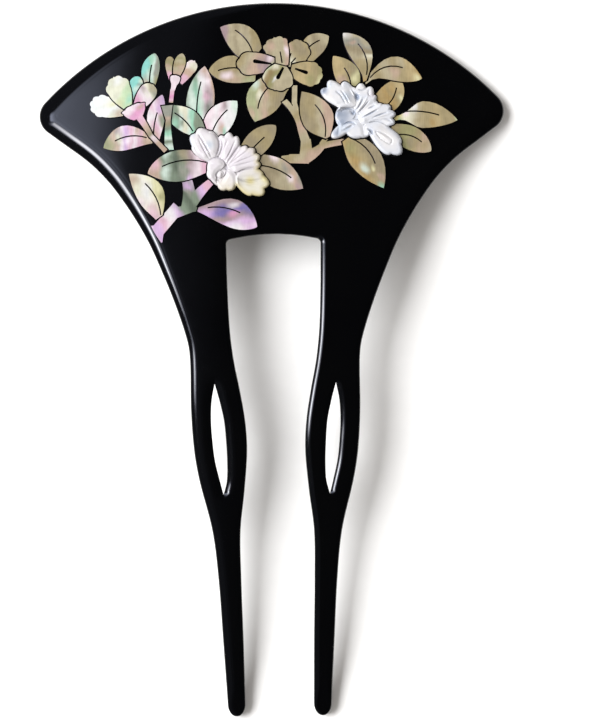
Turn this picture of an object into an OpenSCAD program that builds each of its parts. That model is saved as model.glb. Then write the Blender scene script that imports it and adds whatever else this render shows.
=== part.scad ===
// A fan headed kanzashi: a domed lacquer head on two pierced prongs, with a flower spray in mother-of-pearl.
// Origin: middle of the length and width, on the surface it lies on. +Y to the head, +Z out of the face.

/* [Body] */
// Length from the top of the head to the tips of the prongs
body_len = 125; // [123:0.5:127]
// Half width of the head between its two corners
head_half_w = 40.7; // [40.2:0.1:41.2]
// Radius of the arc along the top of the head
top_arc_r = 55; // [54.5:0.1:55.5]
// Rounding of the two corners of the head
corner_r = 3.5; // [3.2:0.1:3.8]
// Thickness of the head and of the upper prongs
body_t = 3.0; // [2.6:0.1:3.4]
// Thickness that the prongs lose on the way to their tips
prong_taper = 0.7; // [0:0.1:1]
// Height of the hollow under the middle of the head
dome_rise = 8.4; // [6:0.1:10]
// Width of the rounded edge along the flanks, where it is widest
edge_w = 2.9; // [2.4:0.1:3.1]
// Width of the rounded edge along the prongs
prong_edge_w = 1.15; // [0.8:0.05:1.2]

/* [Inlay] */
// Thickness of the flat shell pieces
shell_t = 0.35; // [0.25:0.05:0.6]
// Film of glue between a shell piece and the lacquer
shell_gap = 0.03; // [0.02:0.01:0.06]
// Move of the whole spray up the face, from the places that its tables give
spray_y = -0.1; // [-0.5:0.1:0.5]
// Dark line left between two neighbouring pieces
line_w = 0.22; // [0.1:0.02:0.3]
// Width of a vein cut through a leaf
vein_w = 0.24; // [0.15:0.01:0.3]
// Height of the carved blooms over the lacquer
bloom_h = 1.5; // [1:0.1:2]

/* [Hidden] */
top_y = body_len / 2;
arc_y = top_y - top_arc_r;
corner_a = acos((head_half_w - corner_r) / (top_arc_r - corner_r));
corner_y = arc_y + (top_arc_r - corner_r) * sin(corner_a);
flank_a = -53;
dome_y = arc_y;
dome_reach = top_arc_r - 1.5;
dome_r = (dome_reach * dome_reach + dome_rise * dome_rise) / (2 * dome_rise);
rim_dip = 0.04;
dome_top = dome_rise + rim_dip;
dome_z = dome_top - dome_r;
tip_x = 7.525;
tip_drop = dome_top - dome_r + sqrt(dome_r * dome_r - tip_x * tip_x);
prong_reach = top_y + dome_y - 0.6;
prong_r = (prong_reach * prong_reach + tip_drop * tip_drop) / (2 * tip_drop);
prong_z = dome_top - prong_r;
tip_end = 2.2;
tip_y = tip_end - top_y;
column_pitch = 5.2;
RINGS = 7;
ARC_STEPS = 14;
CORNER_STEPS = 8;
TIP_STEPS = 6;
CROTCH_STEPS = 4;
$fn = 200;

// Outside of the right flank: height up the pin, half width
FLANK = [
    [40.3, 39.25], [38.5, 36.85], [35.0, 32.2], [31.5, 28.75], [28.0, 26.15], [24.5, 23.9], [21.0, 21.95],
    [17.5, 20.35], [10.5, 17.55], [3.5, 15.3], [0.0, 14.85], [-8.8, 14.8], [-15.8, 14.35], [-21.0, 13.5],
    [-29.9, 11.35], [-38.5, 10.4], [-49.3, 9.75], [-60.3, 9.1]
];
// Gap between the prongs: height up the pin, half width
GAP = [
    [20.2, 8.25], [12.2, 8.1], [5.2, 7.8], [0.0, 7.2], [-5.3, 6.2], [-10.6, 5.35], [-15.8, 5.07],
    [-22.8, 5.62], [-29.9, 6.42], [-38.6, 6.4], [-49.1, 6.16], [-60.3, 6.0]
];
// Eyelet in the right prong: height up the pin, inner side, outer side
EYELET = [
    [-4.1, 10.6, 10.6], [-7.1, 9.8, 11.15], [-10.6, 9.05, 11.3], [-14.1, 8.75, 11.1], [-17.6, 8.6, 10.7],
    [-21.1, 8.7, 9.9], [-23.5, 9.3, 9.3]
];
// Top of the gap: half width where its corner starts, height there, drop from the middle, corner radius
CROTCH = [7.35, 20.2, 0.8, 0.9];

// Heights of the stations down the flank of the head, and down a prong
HEAD_Y = [38.5, 35.2, 31.8, 28.3, 24.8, 21.5];
PRONG_Y = [
    18.2, 14.5, 11, 7.5, 4.5, 2, 0.3, -1.8, -4.1, -5.6, -7.6, -10, -12.5, -15, -17.5, -20, -22.2, -23.5,
    -26, -29.5, -34, -40, -47, -54, -57.5, -60.3
];
EYE_FIRST = 8;
EYE_LAST = 17;

function mix(a, b, t) = a + (b - a) * t;
function unit(v) = v / norm(v);

// Value in column col of a table whose heights fall from row to row, on a smooth curve through its rows
function slope_at(rows, i, col) =
    let (a = max(i - 1, 0), b = min(i + 1, len(rows) - 1))
    (rows[b][col] - rows[a][col]) / (rows[b][0] - rows[a][0]);
function curve(rows, y, col = 1) =
    let (
        i = max([0, for (k = [0:len(rows) - 2]) if (y <= rows[k][0]) k]),
        h = rows[i + 1][0] - rows[i][0],
        t = (y - rows[i][0]) / h
    )
    mix(rows[i][col], rows[i + 1][col], t * t * (3 - 2 * t))
    + h * t * (1 - t) * ((1 - t) * slope_at(rows, i, col) - t * slope_at(rows, i + 1, col));

// Right half of the outline, from the top of the head clockwise to the middle of the crotch
HALF_EDGE = concat(
    [for (i = [0:ARC_STEPS]) let (a = mix(90, corner_a, i / ARC_STEPS))
        [top_arc_r * cos(a), arc_y + top_arc_r * sin(a)]],
    [for (i = [1:CORNER_STEPS]) let (a = mix(corner_a, flank_a, i / CORNER_STEPS))
        [head_half_w - corner_r + corner_r * cos(a), corner_y + corner_r * sin(a)]],
    [for (y = HEAD_Y) [curve(FLANK, y), y]],
    [for (y = PRONG_Y) [curve(FLANK, y), y]],
    [for (i = [1:TIP_STEPS - 1])
        let (a = -180 * i / TIP_STEPS, o = curve(FLANK, tip_y), g = curve(GAP, tip_y))
        [(o + g) / 2 + (o - g) / 2 * cos(a), tip_y + tip_end * sin(a)]],
    [for (i = [len(PRONG_Y) - 1:-1:0]) [curve(GAP, PRONG_Y[i]), PRONG_Y[i]]],
    [for (i = [0:CROTCH_STEPS]) let (a = 80 * i / CROTCH_STEPS)
        [CROTCH[0] + CROTCH[3] * cos(a), CROTCH[1] + CROTCH[3] * sin(a)]],
    [for (x = [5, 2.5, 0])
        [x, CROTCH[1] + CROTCH[3] + CROTCH[2] * (1 - pow(x / CROTCH[0], 2))]]
);
HALF_N = len(HALF_EDGE);
EDGE = concat(HALF_EDGE, [for (i = [HALF_N - 2:-1:1]) [-HALF_EDGE[i][0], HALF_EDGE[i][1]]]);
EDGE_N = len(EDGE);

// Outline of the right eyelet, counter-clockwise from its upper end
EYE = concat(
    [for (j = [EYE_FIRST:EYE_LAST]) [curve(EYELET, PRONG_Y[j], 1), PRONG_Y[j]]],
    [for (j = [EYE_LAST - 1:-1:EYE_FIRST + 1]) [curve(EYELET, PRONG_Y[j], 2), PRONG_Y[j]]]
);
EYE_N = len(EYE);

// Places along the outline
HEAD_0 = ARC_STEPS + CORNER_STEPS + 1;
OUTER_0 = HEAD_0 + len(HEAD_Y);
TIP_0 = OUTER_0 + len(PRONG_Y);
INNER_0 = TIP_0 + TIP_STEPS - 1;
CROTCH_0 = INNER_0 + len(PRONG_Y);

// Lower and upper face of the lacquer over a point of the plan
function prong_share(y) = max(0, (dome_y - y) / (dome_y + top_y));
function thickness(y) = body_t - prong_taper * pow(prong_share(y), 2);
function dome(r, x, d) = sqrt(r * r - x * x - d * d);
function face(x, y, up) =
    y >= dome_y
    ? dome_z + dome(dome_r + up * body_t, x, y - dome_y)
    : prong_z + sqrt(pow(prong_r + up * thickness(y), 2) - pow(y - dome_y, 2))
        + dome(dome_r, x, 0) - dome_r;

// How far the rounding reaches in from the edge: height up the pin, share from the narrow to the wide one
ROUNDING = [
    [62.5, 0.25], [55.0, 0.5], [43.0, 0.95], [40.0, 1], [35.0, 0.88], [30.0, 0.7], [25.0, 0.5], [20.0, 0.33],
    [12.0, 0.1], [5.0, 0]
];
function in_gap(p) = abs(p[0]) < 9 && p[1] < 30;
function round_w(p) =
    p[1] < tip_y + 3
    ? mix(0.6, prong_edge_w, max(0, (p[1] - tip_y) / 3))
    : mix(prong_edge_w, edge_w, p[1] < 5 || in_gap(p) ? 0 : curve(ROUNDING, p[1]));

// Point i of a closed outline on ring k, from the lower face round the edge to the upper face
function heading(loop, i) =
    let (n = len(loop), d = unit(loop[(i + 1) % n] - loop[i]), e = unit(loop[i] - loop[(i + n - 1) % n]))
    unit(d + e);
function ring_point(loop, i, k) =
    let (
        a = mix(-90, 90, k / (RINGS - 1)),
        h = heading(loop, i),
        p = loop[i] + round_w(loop[i]) * (1 - cos(a)) * [h[1], -h[0]]
    )
    [p[0], p[1], mix(face(p[0], p[1], 0), face(p[0], p[1], 1), (1 + sin(a)) / 2)];
function rings(loop) = [for (k = [0:RINGS - 1]) for (i = [0:len(loop) - 1]) ring_point(loop, i, k)];
function mirrored(points) = [for (p = points) [-p[0], p[1], p[2]]];

// Rows of points across the head, each from the middle to the edge
HEAD_ROWS = concat(
    [for (i = [1:ARC_STEPS]) i],
    [for (j = [0:len(HEAD_Y) - 2]) HEAD_0 + j]
);
function columns(i) = max(1, round(EDGE[i][0] / column_pitch));
EYE_R = EDGE_N * RINGS;
EYE_L = EYE_R + EYE_N * RINGS;
INSIDE = EYE_L + EYE_N * RINGS;
EDGE_RINGS = rings(EDGE);
EYE_RINGS = rings(EYE);
function top_ring(i) = EDGE_RINGS[(RINGS - 1) * EDGE_N + i];

function on_face(p, up) = [p[0], p[1], face(p[0], p[1], up)];
function head_inside(up) = [
    for (i = HEAD_ROWS) let (e = top_ring(i), n = columns(i))
        for (c = [1 - n:n - 1]) on_face([e[0] * c / n, e[1]], up)
];
function prong_middle(j, side) =
    let (o = top_ring(OUTER_0 + j), g = top_ring(CROTCH_0 - 1 - j))
    [side * (o[0] + g[0]) / 2, (o[1] + g[1]) / 2];
PLAIN_RUNGS = [for (j = [0:len(PRONG_Y) - 1]) if (j < EYE_FIRST || j > EYE_LAST) j];
function prong_inside(up) = [
    for (side = [1, -1]) for (j = PLAIN_RUNGS) on_face(prong_middle(j, side), up)
];
HEAD_IN = head_inside(1);
PRONG_IN = prong_inside(1);
CAP_N = len(HEAD_IN) + len(PRONG_IN);
POINTS = concat(
    EDGE_RINGS, EYE_RINGS, mirrored(EYE_RINGS),
    HEAD_IN, PRONG_IN, head_inside(0), prong_inside(0)
);

// Numbers of the points on the cap of one face: up is 1 or 0, side is 1 or -1
function ring_0(n, up) = up * (RINGS - 1) * n;
function edge_id(i, up, side) = ring_0(EDGE_N, up) + (side > 0 ? i : (EDGE_N - i) % EDGE_N);
function eye_id(i, up, side) = (side > 0 ? EYE_R : EYE_L) + ring_0(EYE_N, up) + i;
function inside_id(n, up) = INSIDE + n + (1 - up) * CAP_N;
function total(list, n, i = 0) = i >= n ? 0 : list[i] + total(list, n, i + 1);
ROW_SIZES = [for (i = HEAD_ROWS) 2 * columns(i) - 1];
ROW_STARTS = [for (r = [0:len(HEAD_ROWS) - 1]) total(ROW_SIZES, r)];
function row_end(r) = r + 1 < len(HEAD_ROWS) ? HEAD_ROWS[r + 1] - 1 : OUTER_0 - 1;
function head_row(r, up, side) =
    let (i = HEAD_ROWS[r], n = columns(i))
    concat(
        [for (c = [0:n - 1]) inside_id(ROW_STARTS[r] + n - 1 + side * c, up)],
        [edge_id(i, up, side)]
    );
function rest_of_row(r, up, side) =
    HEAD_ROWS[r] == row_end(r) ? [] : [for (e = [HEAD_ROWS[r] + 1:row_end(r)]) edge_id(e, up, side)];
function rung_middle(j, up, side) =
    let (
        plain = search(j, PLAIN_RUNGS),
        row = len(HEAD_IN) + (side > 0 ? 0 : len(PLAIN_RUNGS)) + plain[0]
    )
    inside_id(row, up);
function rung_inner(j, up, side) = edge_id(CROTCH_0 - 1 - j, up, side);
function rung_outer(j, up, side) = edge_id(OUTER_0 + j, up, side);
function eye_inner(j, up, side) = eye_id(j - EYE_FIRST, up, side);
function eye_outer(j, up, side) = eye_id((EYE_N - (j - EYE_FIRST)) % EYE_N, up, side);
function has_eye(j) = j >= EYE_FIRST && j <= EYE_LAST;
function inner_half(j, up, side) =
    [rung_inner(j, up, side), has_eye(j) ? eye_inner(j, up, side) : rung_middle(j, up, side)];
function outer_half(j, up, side) =
    [has_eye(j) ? eye_outer(j, up, side) : rung_middle(j, up, side), rung_outer(j, up, side)];

// Triangles between two rows of points, the first row above the second
function off_axis(id) = abs(POINTS[id][0]);
function facet(a, b, c, flip) = flip ? [a, c, b] : [a, b, c];
function zip(a, b, flip, i = 0, j = 0) =
    i + 1 >= len(a) && j + 1 >= len(b)
    ? []
    : let (along_a = i + 1 < len(a) && (j + 1 >= len(b) || off_axis(a[i + 1]) <= off_axis(b[j + 1])))
        along_a
        ? concat([facet(a[i], a[i + 1], b[j], flip)], zip(a, b, flip, i + 1, j))
        : concat([facet(a[i], b[j + 1], b[j], flip)], zip(a, b, flip, i, j + 1));

function crotch_row(up, side) = concat(
    [for (e = [HALF_N - 1:-1:CROTCH_0]) edge_id(e, up, side)],
    inner_half(0, up, side),
    [rung_outer(0, up, side)]
);
function cap(up, side) =
    let (flip = up * side + (1 - up) * -side < 0, last = len(PRONG_Y) - 1, rows = len(HEAD_ROWS))
    concat(
        zip([edge_id(0, up, side)], head_row(0, up, side), flip),
        [for (r = [0:rows - 1])
            each zip(
                concat(head_row(r, up, side), rest_of_row(r, up, side)),
                r < rows - 1 ? head_row(r + 1, up, side) : crotch_row(up, side),
                flip
            )],
        [for (j = [0:last - 1]) each zip(inner_half(j, up, side), inner_half(j + 1, up, side), flip)],
        [for (j = [0:last - 1]) each zip(outer_half(j, up, side), outer_half(j + 1, up, side), flip)],
        [for (e = [TIP_0 - 1:INNER_0 - 1])
            facet(edge_id(e + 1, up, side), rung_middle(last, up, side), edge_id(e, up, side), flip)]
    );
function wall(first, n) = [
    for (k = [0:RINGS - 2]) for (i = [0:n - 1])
        let (a = first + k * n + i, b = first + k * n + (i + 1) % n)
        each [[a, b, b + n], [a, b + n, a + n]]
];
function flipped(faces) = [for (f = faces) [f[0], f[2], f[1]]];

module body() {
    color("#0b0b0d")
    polyhedron(
        points = POINTS,
        faces = concat(
            wall(0, EDGE_N), wall(EYE_R, EYE_N), flipped(wall(EYE_L, EYE_N)),
            cap(1, 1), cap(1, -1), cap(0, 1), cap(0, -1)
        ),
        convexity = 6
    );
}

// Outline of a leaf or petal: both sides run from its root to its tip, each with a belly of its own.
// The middle line bends sideways. Root power 1 is full and 2 is hollow, tip power 0.5 is round and 1 pointed.
function left_of(v) = [-v[1], v[0]];
function bowed(a, b, bow, t) = mix(a, b, t) + left_of(unit(b - a)) * bow * 4 * t * (1 - t);
function half_w(side, peak, root, t) =
    t < peak
        ? mix(root, side[0], pow(sin(90 * t / peak), side[1]))
        : side[0] * pow(1 - pow((t - peak) / (1 - peak), 2), side[2]);
function scallop(lobes, depth, s) = 1 - depth * (lobes == 0 ? 0 : 1 - abs(sin(180 * lobes * s)));
function blade_side(a, b, bend, turn, side, peak, root, lobes, depth, grow) =
    let (steps = lobes == 0 ? TIP_ROWS : 4 * lobes, dir = unit(b - a), mid = bowed(a, b, bend, 0.6))
    [
        for (i = [0:ROOT_ROWS + steps - 1])
            let (
                lean = max(0, 90 * (i - ROOT_ROWS) / steps),
                t = i < ROOT_ROWS ? peak * i / ROOT_ROWS : peak + (1 - peak) * sin(lean),
                reach = grow * (t < peak ? t / peak - 1 : (t - peak) / (1 - peak)),
                p = bowed(a, b, bend, t) + left_of(dir) * turn * (half_w(side, peak, root, t) + grow)
            )
            mid + (p - mid) * scallop(lobes, depth, lean / 180) + dir * reach
    ];
function reversed(list) = [for (i = [len(list) - 1:-1:0]) list[i]];
function blade(a, b, bend, left, right, peak, root, lobes, depth, grow) = concat(
    blade_side(a, b, bend, 1, left, peak, root, lobes, depth, grow),
    [b + unit(b - a) * grow],
    reversed(blade_side(a, b, bend, -1, right, peak, root, lobes, depth, grow))
);
ROOT_ROWS = 5;
TIP_ROWS = 8;

// Leaves: name, root, tip, bend, left side and right side [belly, root power, tip power], place of the belly,
// half width of the root, pieces that lie over the leaf
LEAVES = [
    ["leaf_left_1", [-21.4, 48.2], [-20.3, 54.0], 0.3, [1.5, 1, 0.7], [1.6, 1, 0.7], 0.5, 1.0,
        ["bloom_petal_c", "bloom_petal_d"]],
    ["leaf_left_2", [-20.1, 38.8], [-19.1, 46.7], 0.7, [1.5, 1, 0.8], [1.6, 1, 0.8], 0.5, 0.4,
        ["left_stem", "bloom_stem"]],
    ["leaf_left_3", [-21.0, 38.8], [-29.5, 37.5], -1.2, [2.2, 1, 1], [2.1, 1, 0.7], 0.55, 0.6,
        ["bloom_stem"]],
    ["leaf_left_4", [-13.3, 41.2], [-11.6, 51.6], 0.4, [1.9, 1, 0.8], [3.0, 1, 0.9], 0.42, 1.0,
        ["leaf_left_5", "leaf_left_6"]],
    ["leaf_left_5", [-17.9, 43.8], [-11.6, 39.3], 0.5, [2.0, 1, 0.9], [2.2, 1, 0.9], 0.45, 1.3,
        ["bloom_left", "left_stem"]],
    ["leaf_left_6", [-11.0, 39.2], [-6.0, 45.4], 0.4, [2.4, 1, 0.8], [2.4, 1, 0.9], 0.42, 1.6,
        ["bloom_left", "leaf_left_5"]],
    ["leaf_left_7", [-10.6, 34.6], [-21.8, 32.9], -1.0, [3.3, 1, 1], [2.2, 1, 0.6], 0.5, 1.2,
        ["bloom_left"]],
    ["leaf_left_8", [-19.9, 25.2], [-25.1, 32.9], -1.4, [2.7, 1, 1], [2.1, 1, 0.9], 0.45, 0.7, []],
    ["leaf_left_9", [-13.1, 26.5], [-2.8, 23.3], 1.2, [2.4, 1.3, 0.75], [2.6, 1, 0.9], 0.58, 0.35, []],
    ["leaf_centre_1", [-2.6, 53.4], [-8.8, 58.4], -1.1, [3.1, 1, 1], [2.2, 1, 0.75], 0.38, 1.6,
        ["flower_petal_a", "flower_petal_c"]],
    ["leaf_centre_2", [-2.7, 50.0], [-10.9, 50.8], -0.8, [2.6, 1, 0.85], [2.2, 1, 0.65], 0.5, 1.2,
        ["leaf_centre_1", "flower_petal_c", "flower_petal_d", "leaf_centre_4"]],
    ["leaf_centre_3", [6.0, 52.9], [10.2, 56.6], 0.4, [2.1, 1, 0.7], [1.8, 1, 0.9], 0.45, 1.5,
        ["flower_petal_b", "flower_petal_e"]],
    ["leaf_centre_4", [1.0, 48.6], [-2.9, 41.7], -0.9, [3.3, 1.3, 1.05], [2.8, 1, 0.75], 0.42, 2.4,
        ["flower_petal_d", "centre_branch"]],
    ["leaf_centre_5", [-4.6, 35.8], [0.7, 41.0], 0, [2.3, 1, 0.75], [1.9, 1, 0.75], 0.42, 1.6,
        ["bloom_left"]],
    ["leaf_centre_6", [-2.8, 35.2], [5.3, 29.9], 0.5, [1.9, 1, 0.85], [3.2, 1, 1], 0.45, 1.0,
        ["bloom_left", "leaf_centre_5"]],
    ["leaf_right_1", [14.4, 46.6], [10.9, 53.1], -0.5, [2.1, 1, 0.9], [2.2, 1, 0.9], 0.42, 1.0,
        ["bloom_right"]],
    ["leaf_right_2", [16.4, 48.6], [12.7, 57.1], -1.6, [2.15, 1.4, 0.9], [1.85, 1.3, 0.65], 0.58, 0.3,
        ["bloom_right"]],
    ["leaf_right_3", [16.5, 48.4], [26.4, 49.0], 2.3, [1.9, 1, 0.8], [2.5, 1.9, 0.85], 0.6, 0.35,
        ["bloom_right", "leaf_right_2"]],
    ["leaf_right_4", [18.3, 43.4], [22.6, 48.7], -0.2, [2.0, 1, 0.7], [2.4, 1, 0.55], 0.45, 1.6,
        ["bloom_right", "leaf_right_3"]],
    ["leaf_right_5", [21.4, 41.9], [32.5, 41.6], 0.95, [2.25, 3.5, 0.9], [2.45, 3, 0.9], 0.45, 0.35,
        ["bloom_right"]],
    ["leaf_right_6", [20.3, 40.1], [27.8, 36.2], 0.4, [2.1, 1, 0.65], [2.0, 1, 0.8], 0.5, 1.0,
        ["bloom_right"]],
    ["leaf_right_7", [13.3, 38.7], [19.4, 29.8], 1.2, [1.9, 1, 0.9], [3.5, 1, 1], 0.42, 1.2,
        ["bloom_right"]],
    ["leaf_right_8", [9.8, 38.8], [5.3, 46.9], -0.4, [3.0, 1, 1.05], [2.6, 1, 0.9], 0.42, 0.4,
        ["bloom_right"]]
];

// Veins, cut through the leaves: leaf, root end, tip end, bow
VEINS = [
    ["leaf_left_1", [-21.3, 48.8], [-20.9, 52.0], 0.1],
    ["leaf_left_2", [-20.7, 39.8], [-20.0, 43.6], 0.15],
    ["leaf_left_3", [-21.9, 39.2], [-27.5, 38.7], -0.6],
    ["leaf_left_4", [-13.1, 42.6], [-12.3, 48.9], 0.25],
    ["leaf_left_5", [-13.8, 40.2], [-17.0, 43.5], -0.32],
    ["leaf_left_6", [-10.5, 39.8], [-7.7, 43.9], 0.35],
    ["leaf_left_7", [-11.5, 34.7], [-19.3, 34.1], -0.75],
    ["leaf_left_8", [-19.6, 25.6], [-22.3, 31.2], -0.6],
    ["leaf_left_9", [-11.4, 26.8], [-5.7, 25.8], 0.45],
    ["leaf_centre_1", [-3.2, 54.0], [-6.2, 57.9], -0.45],
    ["leaf_centre_2", [-5.8, 51.2], [-9.3, 50.8], -0.2],
    ["leaf_centre_3", [6.7, 54.7], [8.6, 55.9], 0.12],
    ["leaf_centre_4", [-0.5, 47.7], [-2.4, 44.0], -0.38],
    ["leaf_centre_5", [-3.6, 36.8], [-1.3, 39.0], 0.05],
    ["leaf_centre_6", [-2.6, 34.1], [3.3, 31.8], 0.5],
    ["leaf_right_1", [13.95, 47.5], [12.8, 51.0], -0.3],
    ["leaf_right_2", [16.7, 49.7], [15.3, 55.2], -0.7],
    ["leaf_right_3", [17.3, 49.2], [23.1, 50.9], 1.0],
    ["leaf_right_4", [20.1, 44.2], [21.9, 47.4], -0.35],
    ["leaf_right_5", [23.4, 43.2], [29.3, 42.5], 0.3],
    ["leaf_right_6", [21.4, 39.0], [26.2, 37.8], 0.65],
    ["leaf_right_7", [13.6, 38.7], [18.0, 34.1], 0.75],
    ["leaf_right_8", [9.3, 38.9], [7.6, 44.6], -0.75]
];

// Petals: name, root, tip, belly left and right, place of the belly, half width of the root, tip power,
// lobes, their depth, pieces that lie over the petal
PETALS = [
    ["bloom_petal_a", [-25.0, 44.3], [-27.6, 50.0], 2.35, 2.15, 0.62, 0.9, 0.5, 4, 0.11, ["bloom_stem"]],
    ["bloom_petal_b", [-25.3, 43.9], [-31.8, 45.4], 2.1, 2.0, 0.62, 1.0, 0.5, 5, 0.1,
        ["bloom_petal_a", "bloom_stem"]],
    ["bloom_petal_c", [-24.3, 45.0], [-23.3, 50.0], 1.4, 1.2, 0.65, 0.4, 0.5, 1, 0.03,
        ["bloom_petal_a", "bloom_petal_d", "bloom_stem"]],
    ["bloom_petal_d", [-23.6, 44.4], [-20.6, 48.5], 1.7, 1.6, 0.6, 0.9, 0.5, 2, 0.08, ["bloom_stem"]],
    ["bud_petal_a", [-17.1, 49.2], [-17.8, 53.4], 0.95, 0.85, 0.6, 0.7, 0.45, 0, 0,
        ["bud_petal_b", "bud_stem"]],
    ["bud_petal_b", [-16.7, 49.5], [-15.5, 53.9], 1.0, 1.0, 0.6, 0.4, 0.6, 0, 0, ["bud_stem"]],
    ["bud_petal_c", [-16.5, 48.7], [-13.3, 52.6], 1.0, 1.35, 0.62, 1.0, 0.45, 2, 0.13,
        ["bud_petal_b", "bud_stem"]],
    ["flower_petal_a", [2.35, 51.1], [0.6, 56.5], 2.5, 2.1, 0.72, 0.9, 0.4, 4, 0.1,
        ["flower_petal_c", "flower_petal_d"]],
    ["flower_petal_b", [3.1, 51.1], [5.3, 55.9], 1.8, 2.5, 0.6, 1.0, 0.4, 4, 0.08,
        ["flower_petal_a", "flower_petal_e", "flower_petal_d"]],
    ["flower_petal_c", [1.0, 52.0], [-6.0, 51.9], 2.1, 2.15, 0.62, 1.0, 0.5, 3, 0.09, ["flower_petal_d"]],
    ["flower_petal_d", [1.8, 51.8], [0.6, 47.2], 2.9, 2.75, 0.5, 1.2, 0.5, 4, 0.09, []],
    ["flower_petal_e", [3.2, 50.8], [9.0, 49.5], 2.25, 2.25, 0.6, 1.0, 0.5, 5, 0.08, ["flower_petal_d"]]
];

// Twigs: branch, start and its width, end and its width, bow, pieces that lie over the branch
TWIGS = [
    ["bloom_stem", [-23.5, 43.3], 1.3, [-21.1, 39.4], 0.75, 0.1, []],
    ["bloom_stem", [-21.2, 39.6], 0.75, [-18.6, 36.8], 0.8, 0, ["leaf_left_7"]],
    ["bud_stem", [-17.0, 49.2], 1.1, [-17.3, 47.4], 0.72, 0.1, []],
    ["bud_stem", [-17.3, 47.6], 0.72, [-17.6, 45.3], 0.72, 0, ["left_stem"]],
    ["left_stem", [-18.3, 44.8], 2.0, [-18.1, 42.2], 0.8, 0, []],
    ["left_stem", [-18.1, 42.4], 0.8, [-18.0, 37.0], 1.6, -0.1, ["leaf_left_7", "bloom_stem"]],
    ["left_branch", [-19.5, 20.8], 0.2, [-20.0, 23.95], 2.7, 0.1, []],
    ["left_branch", [-20.1, 22.95], 2.3, [-16.5, 27.0], 2.2, 0, ["leaf_left_8"]],
    ["left_branch", [-17.2, 25.9], 1.9, [-14.2, 26.75], 1.4, 0, []],
    ["left_branch", [-15.0, 26.9], 1.9, [-13.0, 26.4], 0.5, 0, ["leaf_left_9"]],
    ["left_branch", [-14.9, 26.6], 2.5, [-15.1, 32.2], 1.7, -0.4, ["leaf_left_7"]],
    ["left_branch", [-14.4, 27.4], 2.2, [-10.3, 31.7], 1.1, 0.2, ["bloom_left"]],
    ["centre_branch", [4.1, 48.0], 0.9, [4.0, 44.7], 0.9, 0, ["flower_petal_d", "flower_petal_e"]],
    ["centre_branch", [4.05, 44.9], 0.8, [5.8, 38.4], 1.6, -0.1, []],
    ["centre_branch", [5.9, 38.6], 1.7, [5.8, 35.2], 2.3, 0.1, []],
    ["centre_branch", [4.7, 41.3], 0.8, [2.25, 45.35], 1.0, -0.3, []],
    ["centre_branch", [6.4, 35.1], 1.7, [3.0, 35.15], 1.55, 0, ["leaf_centre_6"]],
    ["centre_branch", [3.2, 35.1], 1.55, [1.6, 35.4], 0.5, 0, []],
    ["centre_branch", [5.5, 35.3], 2.4, [8.9, 37.4], 1.1, -0.25, []],
    ["centre_branch", [8.6, 37.3], 1.1, [13.5, 38.1], 1.0, 0.1, ["bloom_right", "leaf_right_7"]],
    ["centre_branch", [8.6, 37.5], 0.9, [9.8, 39.2], 0.7, 0, ["leaf_right_8"]]
];
// Flared ends of stems, in the same terms as the petals
CUPS = [
    ["bloom_stem", [-23.3, 42.4], [-24.4, 44.95], 2.3, 2.3, 0.72, 0.9, 0.5, 4, 0.12],
    ["bud_stem", [-17.0, 48.2], [-16.7, 50.1], 0.95, 0.95, 0.68, 0.45, 0.5, 2, 0.1]
];
BRANCHES = ["bloom_stem", "bud_stem", "left_stem", "left_branch", "centre_branch"];

// Slits, cut through the petals: petal, round end and its width, other end and its width
SLITS = [
    ["flower_petal_c", [-2.8, 52.35], 0.7, [0.1, 51.85], 0.3],
    ["flower_petal_d", [1.2, 49.45], 0.7, [2.15, 51.2], 0.4],
    ["flower_petal_e", [6.15, 50.25], 0.65, [4.2, 50.95], 0.3],
    ["flower_petal_a", [1.65, 53.9], 0.24, [1.95, 52.0], 0.24],
    ["flower_petal_b", [3.5, 53.6], 0.24, [2.95, 52.0], 0.24],
    ["flower_petal_b", [4.3, 52.8], 0.24, [3.5, 51.9], 0.24]
];
function strip(a, wa, b, wb, bow, grow) =
    let (n = left_of(unit(b - a)), sides = [1, -1])
    [
        for (k = [0, 1]) for (i = [0:STRIP_ROWS])
            let (t = k == 0 ? i / STRIP_ROWS : 1 - i / STRIP_ROWS)
            bowed(a, b, bow, t) + n * sides[k] * (mix(wa, wb, t) / 2 + grow)
                + unit(b - a) * grow * (2 * t - 1)
    ];
STRIP_ROWS = 6;

// Carved blooms: name, centre, radius of the middle
BLOOMS = [["bloom_left", [-7.9, 33.6], 3.5], ["bloom_right", [15.7, 42.6], 3.7]];
// Their petals: bloom, direction, half angle, reach, power of the tip, lobes, their depth, height
BLOOM_PETALS = [
    ["bloom_left", 131, 32, 8.8, 0.35, 4, 0.06, 1.0],
    ["bloom_left", 86, 42, 6.35, 0.4, 5, 0.09, 0.85],
    ["bloom_left", 20, 55, 6.15, 0.4, 7, 0.08, 0.95],
    ["bloom_left", -29, 36, 8.1, 0.4, 4, 0.08, 0.9],
    ["bloom_left", -92, 44, 4.2, 0.3, 2, 0.1, 0.75],
    ["bloom_left", 200, 50, 3.75, 0.2, 3, 0.06, 0.7],
    ["bloom_right", 140, 22, 8.9, 0.3, 2, 0.13, 1.0],
    ["bloom_right", 118, 16, 6.7, 0.3, 1, 0, 0.95],
    ["bloom_right", 90, 54, 5.65, 0.3, 5, 0.12, 0.85],
    ["bloom_right", -6, 50, 6.1, 0.4, 6, 0.1, 0.95],
    ["bloom_right", -45, 25, 9.75, 0.4, 3, 0.07, 0.95],
    ["bloom_right", -115, 70, 4.3, 0.2, 3, 0.05, 0.75],
    ["bloom_right", 216, 25, 6.5, 1, 1, 0, 0.8],
    ["bloom_right", 185, 45, 4.6, 0.2, 1, 0, 0.7]
];
BLOOM_TURNS = 120;
BLOOM_RINGS = 8;
function petal_place(row, a) = ((a - row[1] + 900) % 360 - 180) / row[2];
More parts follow.
